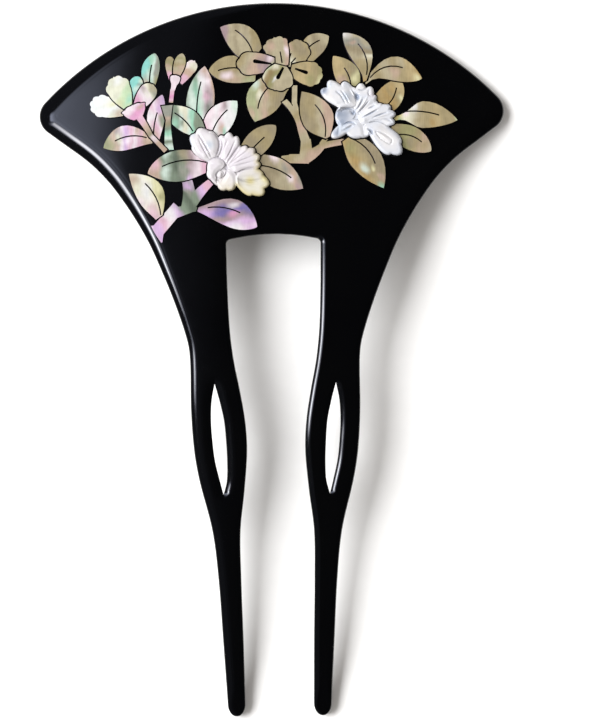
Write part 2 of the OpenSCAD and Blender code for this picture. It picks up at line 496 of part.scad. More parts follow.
function petal_reach(row, a) =
    let (d = petal_place(row, a), lobe = abs(sin(90 * row[5] * (d + 1))))
    abs(d) >= 1 ? 0 : row[3] * pow(cos(90 * d), row[4]) * (1 - row[6] * (1 - lobe));
function bloom_petals(name) = [for (row = BLOOM_PETALS) if (row[0] == name) row];
function bloom_reach(bloom, a) = max(bloom[2], max([for (row = bloom_petals(bloom[0])) petal_reach(row, a)]));
function bloom_plan(bloom, grow) = [
    for (i = [0:BLOOM_TURNS - 1])
        let (a = 360 * i / BLOOM_TURNS)
        bloom[1] + [cos(a), sin(a)] * (bloom_reach(bloom, a) + grow)
];

// Relief of a bloom: every petal is fluted, hollow in the middle of its length and rounded at its rim
function petal_lift(row, a, r) =
    let (d = petal_place(row, a), f = min(1, r / row[3]))
    abs(d) >= 1
    ? 0
    : row[7] * (1 - 0.3 * d * d) * (0.78 + 0.22 * cos(360 * f)) * (0.92 + 0.08 * cos(540 * d));
function bloom_lift(bloom, a, f) =
    let (
        r = bloom_reach(bloom, a) * f,
        tall = max([for (row = bloom_petals(bloom[0])) petal_lift(row, a, r)]),
        eye = 0.6 + 0.25 * cos(150 * r)
    )
    bloom_h * mix(max(eye, tall), tall, min(1, r / bloom[2])) * (f > 0.99 ? 0.55 : 1);
function bloom_point(bloom, a, f, up) =
    let (p = bloom[1] + [0, spray_y] + [cos(a), sin(a)] * bloom_reach(bloom, a) * f)
    [p[0], p[1], face(p[0], p[1], 1) + shell_gap + up * bloom_lift(bloom, a, f)];
function bloom_points(bloom) = concat(
    [bloom_point(bloom, 0, 0, 0), bloom_point(bloom, 0, 0, 1)],
    [for (j = [1:BLOOM_RINGS]) for (i = [0:BLOOM_TURNS - 1])
        bloom_point(bloom, 360 * i / BLOOM_TURNS, j / BLOOM_RINGS, 1)],
    [for (f = [1, 0.5]) for (i = [0:BLOOM_TURNS - 1]) bloom_point(bloom, 360 * i / BLOOM_TURNS, f, 0)]
);
function bloom_id(ring, i) = 2 + (ring - 1) * BLOOM_TURNS + i % BLOOM_TURNS;
BLOOM_FACES = [
    for (i = [0:BLOOM_TURNS - 1]) each concat(
        [[1, bloom_id(1, i + 1), bloom_id(1, i)]],
        [for (j = [1:BLOOM_RINGS + 1]) each [
            [bloom_id(j, i), bloom_id(j, i + 1), bloom_id(j + 1, i + 1)],
            [bloom_id(j, i), bloom_id(j + 1, i + 1), bloom_id(j + 1, i)]
        ]],
        [[0, bloom_id(BLOOM_RINGS + 2, i), bloom_id(BLOOM_RINGS + 2, i + 1)]]
    )
];

// Plan of a piece, grown by a margin where it cuts the pieces under it
module plan(name, grow = 0) {
    for (r = LEAVES) if (r[0] == name) polygon(blade(r[1], r[2], r[3], r[4], r[5], r[6], r[7], 0, 0, grow));
    for (r = concat(PETALS, CUPS)) if (r[0] == name)
        polygon(blade(r[1], r[2], 0, [r[3], 1, r[7]], [r[4], 1, r[7]], r[5], r[6], r[8], r[9], grow));
    for (r = TWIGS) if (r[0] == name) polygon(strip(r[1], r[2], r[3], r[4], r[5], grow));
    for (b = BLOOMS) if (b[0] == name) polygon(bloom_plan(b, grow));
}

function round_end(a, b, w) =
    let (dir = unit(a - b), n = left_of(dir))
    [for (t = [-90:30:90]) a + (dir * cos(t) + n * sin(t)) * w / 2];
module slit(r) {
    side = left_of(unit(r[3] - r[1])) * r[4] / 2;
    polygon(concat(round_end(r[1], r[3], r[2]), [r[3] - side, r[3] + side]));
}

// Thin shell piece, bent to the face of the head
module shell(name, over) {
    intersection() {
        difference() {
            linear_extrude(20) translate([0, spray_y]) difference() {
                plan(name);
                for (o = over) plan(o, line_w);
                for (r = VEINS) if (r[0] == name) polygon(strip(r[1], vein_w, r[2], vein_w, r[3], 0));
                for (r = SLITS) if (r[0] == name) slit(r);
            }
            translate([0, dome_y, dome_z]) sphere(dome_r + body_t + shell_gap);
        }
        translate([0, dome_y, dome_z]) sphere(dome_r + body_t + shell_gap + shell_t);
    }
}
function over_twigs(name) = [for (r = TWIGS) if (r[0] == name) each r[6]];

module leaf(r) {
    color("#c8b98a") shell(r[0], r[8]);
}
module petal(r) {
    color("#d9cdb0") shell(r[0], r[10]);
}
module branch(name) {
    color("#b9a87e") shell(name, over_twigs(name));
}
module carved_bloom(b) {
    color("#f4f4f6") polyhedron(points = bloom_points(b), faces = BLOOM_FACES, convexity = 6);
}

body();
for (r = LEAVES) leaf(r);
for (r = PETALS) petal(r);
for (name = BRANCHES) branch(name);
for (b = BLOOMS) carved_bloom(b);
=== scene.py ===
"""Looks of the kanzashi: a smooth lacquer body, tinted shell inlays and two carved blooms."""
import math

import bpy
import numpy as np
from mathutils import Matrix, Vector
from mathutils.geometry import delaunay_2d_cdt


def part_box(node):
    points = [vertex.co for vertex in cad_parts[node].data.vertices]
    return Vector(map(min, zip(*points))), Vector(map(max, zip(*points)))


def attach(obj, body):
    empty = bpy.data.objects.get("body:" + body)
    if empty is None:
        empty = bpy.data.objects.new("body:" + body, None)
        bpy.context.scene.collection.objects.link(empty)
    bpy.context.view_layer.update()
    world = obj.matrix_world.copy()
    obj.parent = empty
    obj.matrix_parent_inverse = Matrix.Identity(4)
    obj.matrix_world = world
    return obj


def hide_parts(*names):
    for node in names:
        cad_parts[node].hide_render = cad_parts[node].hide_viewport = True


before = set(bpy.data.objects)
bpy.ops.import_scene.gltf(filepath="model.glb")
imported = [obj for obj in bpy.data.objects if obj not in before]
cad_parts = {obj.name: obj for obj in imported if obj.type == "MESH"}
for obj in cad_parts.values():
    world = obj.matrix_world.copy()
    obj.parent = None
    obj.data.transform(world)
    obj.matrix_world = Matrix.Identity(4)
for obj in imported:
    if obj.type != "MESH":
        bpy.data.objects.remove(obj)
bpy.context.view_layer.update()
MM = 0.001
TENTH = 0.0001

# Sizes of the body in millimetres, as in the source of the part
BODY_LEN = 125.0
HEAD_HALF_W = 40.7
TOP_ARC_R = 55.0
CORNER_R = 3.5
BODY_T = 3.0
PRONG_TAPER = 0.7
DOME_RISE = 8.4
EDGE_W = 2.9
PRONG_EDGE_W = 1.15
RIM_DIP = 0.04
TIP_X = 7.525
TIP_END = 2.2
SHELL_GAP = 0.03
TOP_Y = BODY_LEN / 2
ARC_Y = TOP_Y - TOP_ARC_R
CORNER_A = math.degrees(math.acos((HEAD_HALF_W - CORNER_R) / (TOP_ARC_R - CORNER_R)))
CORNER_Y = ARC_Y + (TOP_ARC_R - CORNER_R) * math.sin(math.radians(CORNER_A))
FLANK_A = -53
DOME_Y = ARC_Y
DOME_REACH = TOP_ARC_R - 1.5
DOME_R = (DOME_REACH ** 2 + DOME_RISE ** 2) / (2 * DOME_RISE)
DOME_TOP = DOME_RISE + RIM_DIP
DOME_Z = DOME_TOP - DOME_R
TIP_DROP = DOME_TOP - DOME_R + math.sqrt(DOME_R ** 2 - TIP_X ** 2)
PRONG_REACH = TOP_Y + DOME_Y - 0.6
PRONG_R = (PRONG_REACH ** 2 + TIP_DROP ** 2) / (2 * TIP_DROP)
PRONG_Z = DOME_TOP - PRONG_R
TIP_Y = TIP_END - TOP_Y

# Outside of the right flank: height up the pin, half width
FLANK = [
    (40.3, 39.25), (38.5, 36.85), (35.0, 32.2), (31.5, 28.75), (28.0, 26.15), (24.5, 23.9),
    (21.0, 21.95), (17.5, 20.35), (10.5, 17.55), (3.5, 15.3), (0.0, 14.85), (-8.8, 14.8),
    (-15.8, 14.35), (-21.0, 13.5), (-29.9, 11.35), (-38.5, 10.4), (-49.3, 9.75), (-60.3, 9.1),
]
# Gap between the prongs: height up the pin, half width
GAP = [
    (20.2, 8.25), (12.2, 8.1), (5.2, 7.8), (0.0, 7.2), (-5.3, 6.2), (-10.6, 5.35), (-15.8, 5.07),
    (-22.8, 5.62), (-29.9, 6.42), (-38.6, 6.4), (-49.1, 6.16), (-60.3, 6.0),
]
# Eyelet in the right prong: height up the pin, inner side, outer side
EYELET = [
    (-4.1, 10.6, 10.6), (-7.1, 9.8, 11.15), (-10.6, 9.05, 11.3), (-14.1, 8.75, 11.1),
    (-17.6, 8.6, 10.7), (-21.1, 8.7, 9.9), (-23.5, 9.3, 9.3),
]
# Top of the gap: half width where its corner starts, height there, drop from the middle, radius
CROTCH = (7.35, 20.2, 0.8, 0.9)
CROTCH_TURN = 80
# How far the rounding reaches in from the edge: height up the pin, share from narrow to wide
ROUNDING = [
    (62.5, 0.25), (55.0, 0.5), (43.0, 0.95), (40.0, 1), (35.0, 0.88), (30.0, 0.7), (25.0, 0.5),
    (20.0, 0.33), (12.0, 0.1), (5.0, 0),
]
TIP_EDGE_W = 0.6
TIP_BLEND = 3
# Box round the gap, whose edge keeps the narrow rounding: half width, height up the pin
GAP_BOX = (9, 30)
# Shoulder of the rounded edge: its radius, the most it may take of the width, and the slope in
# degrees where it meets the wide part of the rounding; then the depth of a slight lip inside it
SHOULDER_R = 0.4
SHOULDER_SHARE = 0.35
SHOULDER_SLOPE = 30
LIP = 0.015
# Width inside the edge over which the faces level out, as a share of the edge, and the most it is
LEVEL_SHARE = 0.5
LEVEL_MOST = 1
# Rings of points there, as shares of that width, and on the upper face the share of the lip
LOWER_INSETS = [0.5, 0.18]
UPPER_INSETS = [(0.10, 1), (0.28, 0.45), (0.5, 0)]
# Where the flank and the sides of the gap start, just under their corners, and its top starts
FLANK_TOP = 39.6
GAP_TOP = 20.0
CROTCH_X = 6.9
# Points along the outline, part by part, and round the section of its edge
ARC_STEPS = 56
CORNER_STEPS = 28
FLANK_STEPS = 118
TIP_STEPS = 20
GAP_STEPS = 94
CROTCH_STEPS = 8
EYE_STEPS = 44
UNDER_STEPS = 9
SHOULDER_STEPS = 7
SLOPE_STEPS = 13
# Triangular grid of points on the faces of the body: its pitch, the distance of its rows, points
# to each side of the middle, and least distance from the rim as a share of the pitch
GRID = 1.5
ROW_STEP = 0.866 * GRID
GRID_HALF = 30
RIM_CLEARANCE = 0.55


def mix(a, b, t):
    return a + (b - a) * t


def smooth(low, high, v):
    t = max(0, min(1, (v - low) / (high - low)))
    return t * t * (3 - 2 * t)


def steps(a, b, n):
    return [a + (b - a) * i / n for i in range(n + 1)]


def polar(cx, cy, r, a):
    return (cx + r * math.cos(math.radians(a)), cy + r * math.sin(math.radians(a)))


def curve(rows, y, col=1):
    """Value of a column on a smooth curve through rows whose heights fall."""
    def slope(i):
        a, b = max(i - 1, 0), min(i + 1, len(rows) - 1)
        return (rows[b][col] - rows[a][col]) / (rows[b][0] - rows[a][0])

    i = max([0] + [k for k in range(len(rows) - 1) if y <= rows[k][0]])
    h = rows[i + 1][0] - rows[i][0]
    t = (y - rows[i][0]) / h
    between = mix(rows[i][col], rows[i + 1][col], t * t * (3 - 2 * t))
    return between + h * t * (1 - t) * ((1 - t) * slope(i) - t * slope(i + 1))


def face_z(x, y, up):
    """Height of the lower (up = 0) or upper (up = 1) face of the lacquer."""
    if y >= DOME_Y:
        return DOME_Z + math.sqrt((DOME_R + up * BODY_T) ** 2 - x * x - (y - DOME_Y) ** 2)
    share = (DOME_Y - y) / (DOME_Y + TOP_Y)
    thick = BODY_T - PRONG_TAPER * share * share
    along = math.sqrt((PRONG_R + up * thick) ** 2 - (y - DOME_Y) ** 2)
    return PRONG_Z + along + math.sqrt(DOME_R ** 2 - x * x) - DOME_R


def round_w(x, y):
    """Width of the rounded edge at a place on the outline."""
    if y < TIP_Y + TIP_BLEND:
        return mix(TIP_EDGE_W, PRONG_EDGE_W, max(0, (y - TIP_Y) / TIP_BLEND))
    in_gap = abs(x) < GAP_BOX[0] and y < GAP_BOX[1]
    narrow = in_gap or y < ROUNDING[-1][0]
    return mix(PRONG_EDGE_W, EDGE_W, 0 if narrow else curve(ROUNDING, y))


def outline():
    """Closed outline of the body, clockwise from the top of the head."""
    half = [polar(0, ARC_Y, TOP_ARC_R, a) for a in steps(90, CORNER_A, ARC_STEPS)]
    corner_x = HEAD_HALF_W - CORNER_R
    corner = steps(CORNER_A, FLANK_A, CORNER_STEPS)[1:]
    half += [polar(corner_x, CORNER_Y, CORNER_R, a) for a in corner]
    half += [(curve(FLANK, y), y) for y in steps(FLANK_TOP, FLANK[-1][0], FLANK_STEPS)]
    out, gap = curve(FLANK, TIP_Y), curve(GAP, TIP_Y)
    for a in steps(0, -180, TIP_STEPS)[1:-1]:
        r = math.radians(a)
        x = (out + gap) / 2 + (out - gap) / 2 * math.cos(r)
        half.append((x, TIP_Y + TIP_END * math.sin(r)))
    half += [(curve(GAP, y), y) for y in steps(GAP[-1][0], GAP_TOP, GAP_STEPS)]
    start, height, drop, radius = CROTCH
    half += [polar(start, height, radius, a) for a in steps(0, CROTCH_TURN, CROTCH_STEPS)]
    for x in steps(CROTCH_X, 0, CROTCH_STEPS):
        half.append((x, height + radius + drop * (1 - (x / start) ** 2)))
    return half + [(-x, y) for x, y in half[-2:0:-1]]


def eyelet(side):
    """Outline of an eyelet, wound so that the lacquer lies on the same hand as in the outline."""
    rows = steps(EYELET[0][0], EYELET[-1][0], EYE_STEPS)
    loop = [(curve(EYELET, y, 1), y) for y in rows]
    loop += [(curve(EYELET, y, 2), y) for y in rows[-2:0:-1]]
    if side > 0:
        return loop
    return [(-x, y) for x, y in reversed(loop)]


def edge_profile(w):
    """Section of an edge of width w, from below: inset, share of the thickness, depth below it."""
    near = min(LEVEL_MOST, LEVEL_SHARE * w)
    rows = [(w + inset * near, 0, 0) for inset in LOWER_INSETS]
    for a in steps(-90, 0, UNDER_STEPS):
        turn = math.radians(a)
        rows.append((w * (1 - math.cos(turn)), (1 + math.sin(turn)) / 2, 0))
    steep = math.radians(SHOULDER_SLOPE)
    r = min(SHOULDER_R, SHOULDER_SHARE * w)
    shoulder = r * (1 - math.sin(steep))
    fall = 0.5 * math.tan(steep) * (w - shoulder)
    lip = LIP * near
    for a in steps(math.pi / 2, steep, SHOULDER_STEPS):
        depth = lip + fall + r * (math.cos(steep) - math.cos(a))
        rows.append((r * (1 - math.sin(a)), 1, depth))
    for t in steps(1, 0, SLOPE_STEPS)[1:]:
        rows.append((w - (w - shoulder) * t, 1, lip + fall * t * t))
    return rows + [(w + inset * near, 1, share * lip) for inset, share in UPPER_INSETS]


def edge_rings(loop):
    """Rings of points from the lower face round the edge to the upper face."""
    n = len(loop)
    columns = []
    for i, (x, y) in enumerate(loop):
        d = Vector(loop[(i + 1) % n]) - Vector((x, y))
        e = Vector((x, y)) - Vector(loop[i - 1])
        h = (d.normalized() + e.normalized()).normalized()
        column = []
        for inset, share, depth in edge_profile(round_w(x, y)):
            px, py = x + inset * h.y, y - inset * h.x
            z = mix(face_z(px, py, 0), face_z(px, py, 1), share) - depth
            column.append((px, py, max(0, z)))
        columns.append(column)
    return [list(ring) for ring in zip(*columns)]


def inside_loop(p, loop):
    """Which of the points lie inside a closed loop."""
    hit = np.zeros(len(p), bool)
    for a, b in zip(loop, np.roll(loop, -1, axis=0)):
        cross = (a[1] > p[:, 1]) != (b[1] > p[:, 1])
        x = a[0] + (p[:, 1] - a[1]) * (b[0] - a[0]) / (b[1] - a[1] if b[1] != a[1] else 1e-9)
        hit ^= cross & (p[:, 0] < x)
    return hit


def ring_faces(base, n, rings):
    """Faces between rings of n points each, from point number base on."""
    faces = []
    for k in range(rings - 1):
        for i in range(n):
            a, b = base + k * n + i, base + k * n + (i + 1) % n
            faces.append((a, a + n, b + n, b))
    return faces


def mesh_object(name, verts, faces, replaces, material):
    """A smooth piece, given in millimetres, that rides on the one body and stands for CAD nodes."""
    mesh = bpy.data.meshes.new(name)
    mesh.from_pydata([tuple(c * MM for c in v) for v in verts], [], faces)
    mesh.validate()
    mesh.shade_smooth()
    obj = bpy.data.objects.new(name, mesh)
    bpy.context.scene.collection.objects.link(obj)
    mesh.materials.append(material)
    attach(obj, "root")
    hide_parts(*replaces)
    return obj


def in_lacquer(points, loops):
    """Which of the points lie inside the outline and outside the eyelets."""
    hit = inside_loop(points, loops[0])
    for hole in loops[1:]:
        hit &= ~inside_loop(points, hole)
    return hit


def grid_points(loops):
    """Points of a triangular grid that lie well inside the rim of a face."""
    rows = int(BODY_LEN / ROW_STEP) + 2
    grid = np.array([((c + 0.5 * (r % 2)) * GRID, -TOP_Y + r * ROW_STEP)
                     for r in range(rows) for c in range(-GRID_HALF, GRID_HALF + 1)])
    grid = grid[in_lacquer(grid, loops)]
    rim = np.vstack(loops)
    near = np.array([((rim - p) ** 2).sum(axis=1).min() for p in grid])
    return grid[near >= (RIM_CLEARANCE * GRID) ** 2]


def fill_face(up, ids, verts, faces):
    """Closes the lower or upper face between its loops, given as point numbers."""
    loops = [np.array([verts[i][:2] for i in loop]) for loop in ids]
    edges, start = [], 0
    for loop in loops:
        n = len(loop)
        edges += [(start + i, start + (i + 1) % n) for i in range(n)]
        start += n
    grid = grid_points(loops)
    numbers = [i for loop in ids for i in loop] + list(range(len(verts), len(verts) + len(grid)))
    verts += [(x, y, face_z(x, y, up)) for x, y in grid.tolist()]
    flat = [Vector(p) for p in np.vstack(loops + [grid]).tolist()]
    points, _, tris, origin = delaunay_2d_cdt(flat, edges, [], 0, 1e-7, True)[:4]
    middles = np.array([[sum(points[i][k] for i in tri) / 3 for k in (0, 1)] for tri in tris])
    for tri, kept in zip(tris, in_lacquer(middles, loops)):
        if kept:
            corner = [numbers[origin[i][0]] for i in tri]
            faces.append(tuple(corner) if up else tuple(reversed(corner)))


def body_mesh():
    """Points and faces of the body: rounded edges round its three loops, and two gridded faces."""
    verts, faces, low, high = [], [], [], []
    for loop in (outline(), eyelet(1), eyelet(-1)):
        rings = edge_rings(loop)
        n, base = len(loop), len(verts)
        for ring in rings:
            verts += ring
        faces += ring_faces(base, n, len(rings))
        low.append(range(base, base + n))
        high.append(range(len(verts) - n, len(verts)))
    fill_face(0, low, verts, faces)
    fill_face(1, high, verts, faces)
    return verts, faces


def new_material(name):
    mat = bpy.data.materials.new(name)
    mat.use_nodes = True
    tree = mat.node_tree
    return mat, tree, tree.nodes["Principled BSDF"]


def put(tree, value, socket):
    """Links an output to a socket, or sets the socket to a plain value."""
    if isinstance(value, bpy.types.NodeSocket):
        tree.links.new(value, socket)
    else:
        socket.default_value = value


def math_node(tree, kind, a, b):
    node = tree.nodes.new("ShaderNodeMath")
    node.operation = kind
    put(tree, a, node.inputs[0])
    put(tree, b, node.inputs[1])
    return node.outputs[0]


def product(tree, *values):
    out = values[0]
    for value in values[1:]:
        out = math_node(tree, "MULTIPLY", out, value)
    return out


def vector_node(tree, kind, *values):
    """A vector operation, and its vector or, for a length or dot product, its number."""
    node = tree.nodes.new("ShaderNodeVectorMath")
    node.operation = kind
    for value, socket in zip(values, node.inputs):
        put(tree, value, socket)
    return node.outputs["Value" if kind in ("LENGTH", "DOT_PRODUCT") else "Vector"]


def turned(tree, place, turn, scale):
    """A place turned by an angle about Z and scaled."""
    node = tree.nodes.new("ShaderNodeMapping")
    node.inputs["Rotation"].default_value = (0, 0, -turn)
    node.inputs["Scale"].default_value = scale
    tree.links.new(place, node.inputs["Vector"])
    return node.outputs["Vector"]


def spread(tree, value, low, high, start=0.0, end=1.0, blend="LINEAR"):
    """Goes from low to high while the value goes from start to end."""
    node = tree.nodes.new("ShaderNodeMapRange")
    node.interpolation_type = blend
    node.inputs["From Min"].default_value = start
    node.inputs["From Max"].default_value = end
    node.inputs["To Min"].default_value = low
    node.inputs["To Max"].default_value = high
    tree.links.new(value, node.inputs["Value"])
    return node.outputs["Result"]


def soft_step(tree, value, low, high):
    """Goes smoothly from 0 at low to 1 at high, and low may be the larger one."""
    if low > high:
        return spread(tree, value, 1.0, 0.0, high, low, "SMOOTHSTEP")
    return spread(tree, value, 0.0, 1.0, low, high, "SMOOTHSTEP")


def noise(tree, place, scale, detail, output="Fac"):
    node = tree.nodes.new("ShaderNodeTexNoise")
    node.inputs["Scale"].default_value = scale
    node.inputs["Detail"].default_value = detail
    tree.links.new(place, node.inputs["Vector"])
    return node.outputs[output]


def ramp(tree, share, stops, blend="LINEAR"):
    """Colours over a share from 0 to 1, rows of place and colour."""
    node = tree.nodes.new("ShaderNodeValToRGB")
    node.color_ramp.interpolation = blend
    elements = node.color_ramp.elements
    for _ in stops[2:]:
        elements.new(0.5)
    for element, (place, colour) in zip(elements, stops):
        element.position = place
        element.color = colour
    tree.links.new(share, node.inputs["Fac"])
    return node.outputs["Color"]


def mixed(tree, share, colour, other):
    """The colour with a share of a fixed colour in it."""
    blend = tree.nodes.new("ShaderNodeMix")
    blend.data_type = "RGBA"
    tree.links.new(share, blend.inputs["Factor"])
    tree.links.new(colour, blend.inputs[6])
    blend.inputs[7].default_value = other
    return blend.outputs[2]


def add_bump(tree, shader, height, strength, distance):
    """Fine relief on a surface from a height of 0 to 1, over a distance in metres."""
    bump = tree.nodes.new("ShaderNodeBump")
    bump.inputs["Strength"].default_value = strength
    bump.inputs["Distance"].default_value = distance
    tree.links.new(height, bump.inputs["Height"])
    tree.links.new(bump.outputs["Normal"], shader.inputs["Normal"])


def add_roughness(tree, shader, clouds, low, high):
    tree.links.new(spread(tree, clouds, low, high), shader.inputs["Roughness"])


LACQUER_DARK = (0.0004, 0.0004, 0.0006, 1)
LACQUER_LIGHT = (0.0009, 0.0009, 0.0009, 1)
LACQUER_IOR = 1.5


def lacquer():
    """Polished black lacquer whose tone, gloss and surface ripple very slightly."""
    mat, tree, shader = new_material("black_lacquer")
    place = tree.nodes.new("ShaderNodeTexCoord").outputs["Object"]
    ripple = noise(tree, place, scale=90, detail=2)
    tint = ramp(tree, ripple, [(0, LACQUER_DARK), (1, LACQUER_LIGHT)])
    tree.links.new(tint, shader.inputs["Base Color"])
    add_roughness(tree, shader, ripple, low=0.06, high=0.11)
    shader.inputs["IOR"].default_value = LACQUER_IOR
    add_bump(tree, shader, ripple, strength=0.5, distance=0.02 * MM)
    return mat


def make_body():
    verts, faces = body_mesh()
    mesh_object("lacquer_body", verts, faces, ["body"], lacquer())


# Camera: straight above, with the roll of the photo and a long lens; places in metres
IMAGE_W, IMAGE_H = 595, 720
PIXEL = 0.1751 * MM
ROLL = math.radians(0.78)
ORIGIN_PIXEL = (275.0, 359.5)
CAMERA_H = 2.4
AIM_Z = 0.005
SENSOR = 36
CLIP_END = 20
# Light: an even fill and one key lamp, which shine on the floor with these strengths
FILL = 0.45
FILL_COLOUR = (1.0, 0.95, 0.90, 1)
KEY_LEVEL = 1.8
KEY_PLACE = Vector((-1.30, 0.28, 1.30))
KEY_SIZE = (1.9, 1.5)
FLOOR_HALF = 1.5


def make_camera():
    cam = bpy.data.cameras.new("camera")
    obj = bpy.data.objects.new("camera", cam)
    bpy.context.scene.collection.objects.link(obj)
    du = IMAGE_W / 2 - ORIGIN_PIXEL[0]
    dv = ORIGIN_PIXEL[1] - IMAGE_H / 2
    x = (du * math.cos(ROLL) + dv * math.sin(ROLL)) * PIXEL
    y = (-du * math.sin(ROLL) + dv * math.cos(ROLL)) * PIXEL
    obj.location = (x, y, AIM_Z + CAMERA_H)
    obj.rotation_euler = (0, 0, -ROLL)
    cam.sensor_fit = "VERTICAL"
    cam.sensor_height = SENSOR
    cam.lens = SENSOR * CAMERA_H / (IMAGE_H * PIXEL)
    cam.clip_end = CLIP_END
    bpy.context.scene.camera = obj


def pale_paper():
    mat, tree, shader = new_material("pale_paper")
    grain = tree.nodes.new("ShaderNodeTexNoise")
    grain.inputs["Scale"].default_value = 900
    pale = spread(tree, grain.outputs["Fac"], low=0.86, high=0.90)
    tree.links.new(pale, shader.inputs["Base Color"])
    shader.inputs["Roughness"].default_value = 0.9
    shader.inputs["Specular IOR Level"].default_value = 0.1
    return mat


def make_floor():
    mesh = bpy.data.meshes.new("floor")
    corners = [(x * FLOOR_HALF, y * FLOOR_HALF, 0) for x, y in ((-1, -1), (1, -1), (1, 1), (-1, 1))]
    mesh.from_pydata(corners, [], [(0, 1, 2, 3)])
    obj = bpy.data.objects.new("floor", mesh)
    bpy.context.scene.collection.objects.link(obj)
    mesh.materials.append(pale_paper())


# The room that shows in the lacquer, as places on a ceiling at height 1, +X right and +Y up the
# pin. Window: place across and share of its light, from left to right; then where its light
# starts and ends up the pin
WINDOW = [
    (-1.55, 0.0), (-1.2, 0.05), (-0.95, 0.22), (-0.8, 0.7), (-0.7, 1.0), (-0.62, 0.85),
    (-0.56, 0.16), (-0.5, 0.2), (-0.44, 0.26), (-0.36, 0.06), (-0.24, 0.0),
]
WINDOW_REACH = 1.6
WINDOW_START = (-0.16, -0.02)
WINDOW_END = (0.24, 0.0)
WINDOW_LEVEL = 32.0
# Wall beyond the window: its four soft edges, where its light would be zero, and how fast it rises
WALL_RIGHT = (-0.30, -0.42)
WALL_LEFT = (-1.3, -1.0)
WALL_START = (0.18, 0.26)
WALL_END = (0.80, 0.52)
WALL_ZERO = -0.2
WALL_RISE = 8.4
# Glow of the left half of the room, its soft edge, and the light everywhere
GLOW_EDGE = (-0.1, -0.24)
GLOW_LEVEL = 0.10
ROOM_LEVEL = 0.03
HORIZON = 0.02
DUSK = (0.72, 0.78, 1.0, 1)
DAYLIGHT = (0.92, 0.93, 1.0, 1)
DAYLIGHT_SHARE = 0.1


def room_light(tree):
    """Strength of the light from the room's window, wall and left half, and of the window alone."""
    place = tree.nodes.new("ShaderNodeTexCoord")
    part = tree.nodes.new("ShaderNodeSeparateXYZ")
    tree.links.new(place.outputs["Generated"], part.inputs[0])
    up = math_node(tree, "MAXIMUM", part.outputs["Z"], HORIZON)
    x = math_node(tree, "DIVIDE", part.outputs["X"], up)
    y = math_node(tree, "DIVIDE", part.outputs["Y"], up)
    across = spread(tree, x, 0, 1, start=-WINDOW_REACH, end=0)
    stops = [(at / WINDOW_REACH + 1, (level, level, level, 1)) for at, level in WINDOW]
    panes = ramp(tree, across, stops)
    window = product(tree, panes, soft_step(tree, y, *WINDOW_START),
                     soft_step(tree, y, *WINDOW_END), WINDOW_LEVEL)
    edges = [(x, WALL_RIGHT), (y, WALL_END), (y, WALL_START), (x, WALL_LEFT)]
    wall = product(tree, *[soft_step(tree, value, *edge) for value, edge in edges],
                   math_node(tree, "ADD", x, -WALL_ZERO), -WALL_RISE)
    glow = math_node(tree, "MULTIPLY", soft_step(tree, x, *GLOW_EDGE), GLOW_LEVEL)
    total = math_node(tree, "ADD", window, wall)
    total = math_node(tree, "ADD", total, glow)
    return math_node(tree, "ADD", total, ROOM_LEVEL), window


def make_world():
    """Even fill for the floor, and for reflections a dark room with a window and a pale wall."""
    world = bpy.data.worlds.new("studio")
    world.use_nodes = True
    tree = world.node_tree
    fill = tree.nodes["Background"]
    fill.inputs["Color"].default_value = FILL_COLOUR
    fill.inputs["Strength"].default_value = FILL
    room = tree.nodes.new("ShaderNodeBackground")
    strength, window = room_light(tree)
    tree.links.new(strength, room.inputs["Strength"])
    dusk = tree.nodes.new("ShaderNodeRGB")
    dusk.outputs[0].default_value = DUSK
    bright = math_node(tree, "MULTIPLY", window, DAYLIGHT_SHARE)
    tree.links.new(mixed(tree, bright, dusk.outputs[0], DAYLIGHT), room.inputs["Color"])
    pick = tree.nodes.new("ShaderNodeMixShader")
    path = tree.nodes.new("ShaderNodeLightPath")
    tree.links.new(path.outputs["Is Glossy Ray"], pick.inputs[0])
    tree.links.new(fill.outputs[0], pick.inputs[1])
    tree.links.new(room.outputs[0], pick.inputs[2])
    tree.links.new(pick.outputs[0], tree.nodes["World Output"].inputs["Surface"])
    bpy.context.scene.world = world


def make_key():
    """A soft lamp from the left that gives the floor its level and isn't mirrored."""
    data = bpy.data.lights.new("key", "AREA")
    data.shape = "RECTANGLE"
    data.size, data.size_y = KEY_SIZE
    data.energy = KEY_LEVEL * math.pi ** 2 * KEY_PLACE.length ** 3 / KEY_PLACE.z
    key = bpy.data.objects.new("key", data)
    key.location = KEY_PLACE
    key.rotation_euler = (-KEY_PLACE).to_track_quat("-Z", "Y").to_euler()
    key.visible_glossy = False
    bpy.context.scene.collection.objects.link(key)


# Colours of the shell as they look under the studio light, in steps of 1/255
TONES = {
    "white": (250, 248, 249), "warm_white": (246, 240, 228), "pink_white": (252, 234, 242),
    "mint_white": (226, 242, 230), "cream": (240, 236, 212), "yellow_cream": (236, 230, 184),
    "green_cream": (208, 228, 186), "mint": (172, 222, 196), "cyan": (152, 222, 212),
    "pink": (238, 192, 212), "rose": (234, 164, 204), "lilac": (228, 190, 234),
    "violet": (134, 122, 184), "grey_pink": (176, 152, 156), "pink_tan": (206, 178, 158),
    "grey": (164, 162, 150), "grey_green": (142, 154, 134), "dark_green": (106, 114, 98),
    "olive": (170, 164, 118), "tan": (178, 162, 124), "pale_tan": (196, 184, 154),
    "grey_tan": (168, 154, 126), "gold": (188, 160, 108), "pale_gold": (200, 180, 136),
    "brown": (158, 138, 98), "blue_white": (229, 234, 246), "shell_white": (238, 231, 239),
    "honey": (226, 212, 146), "sage": (184, 188, 146), "lavender": (176, 170, 186),
    "slate": (150, 162, 184), "ice": (206, 216, 230),
}


# Shell under the studio light: its brightness against the floor's, and the palest colour it takes
SHELL_LIGHT = 0.8
PALEST = 0.86


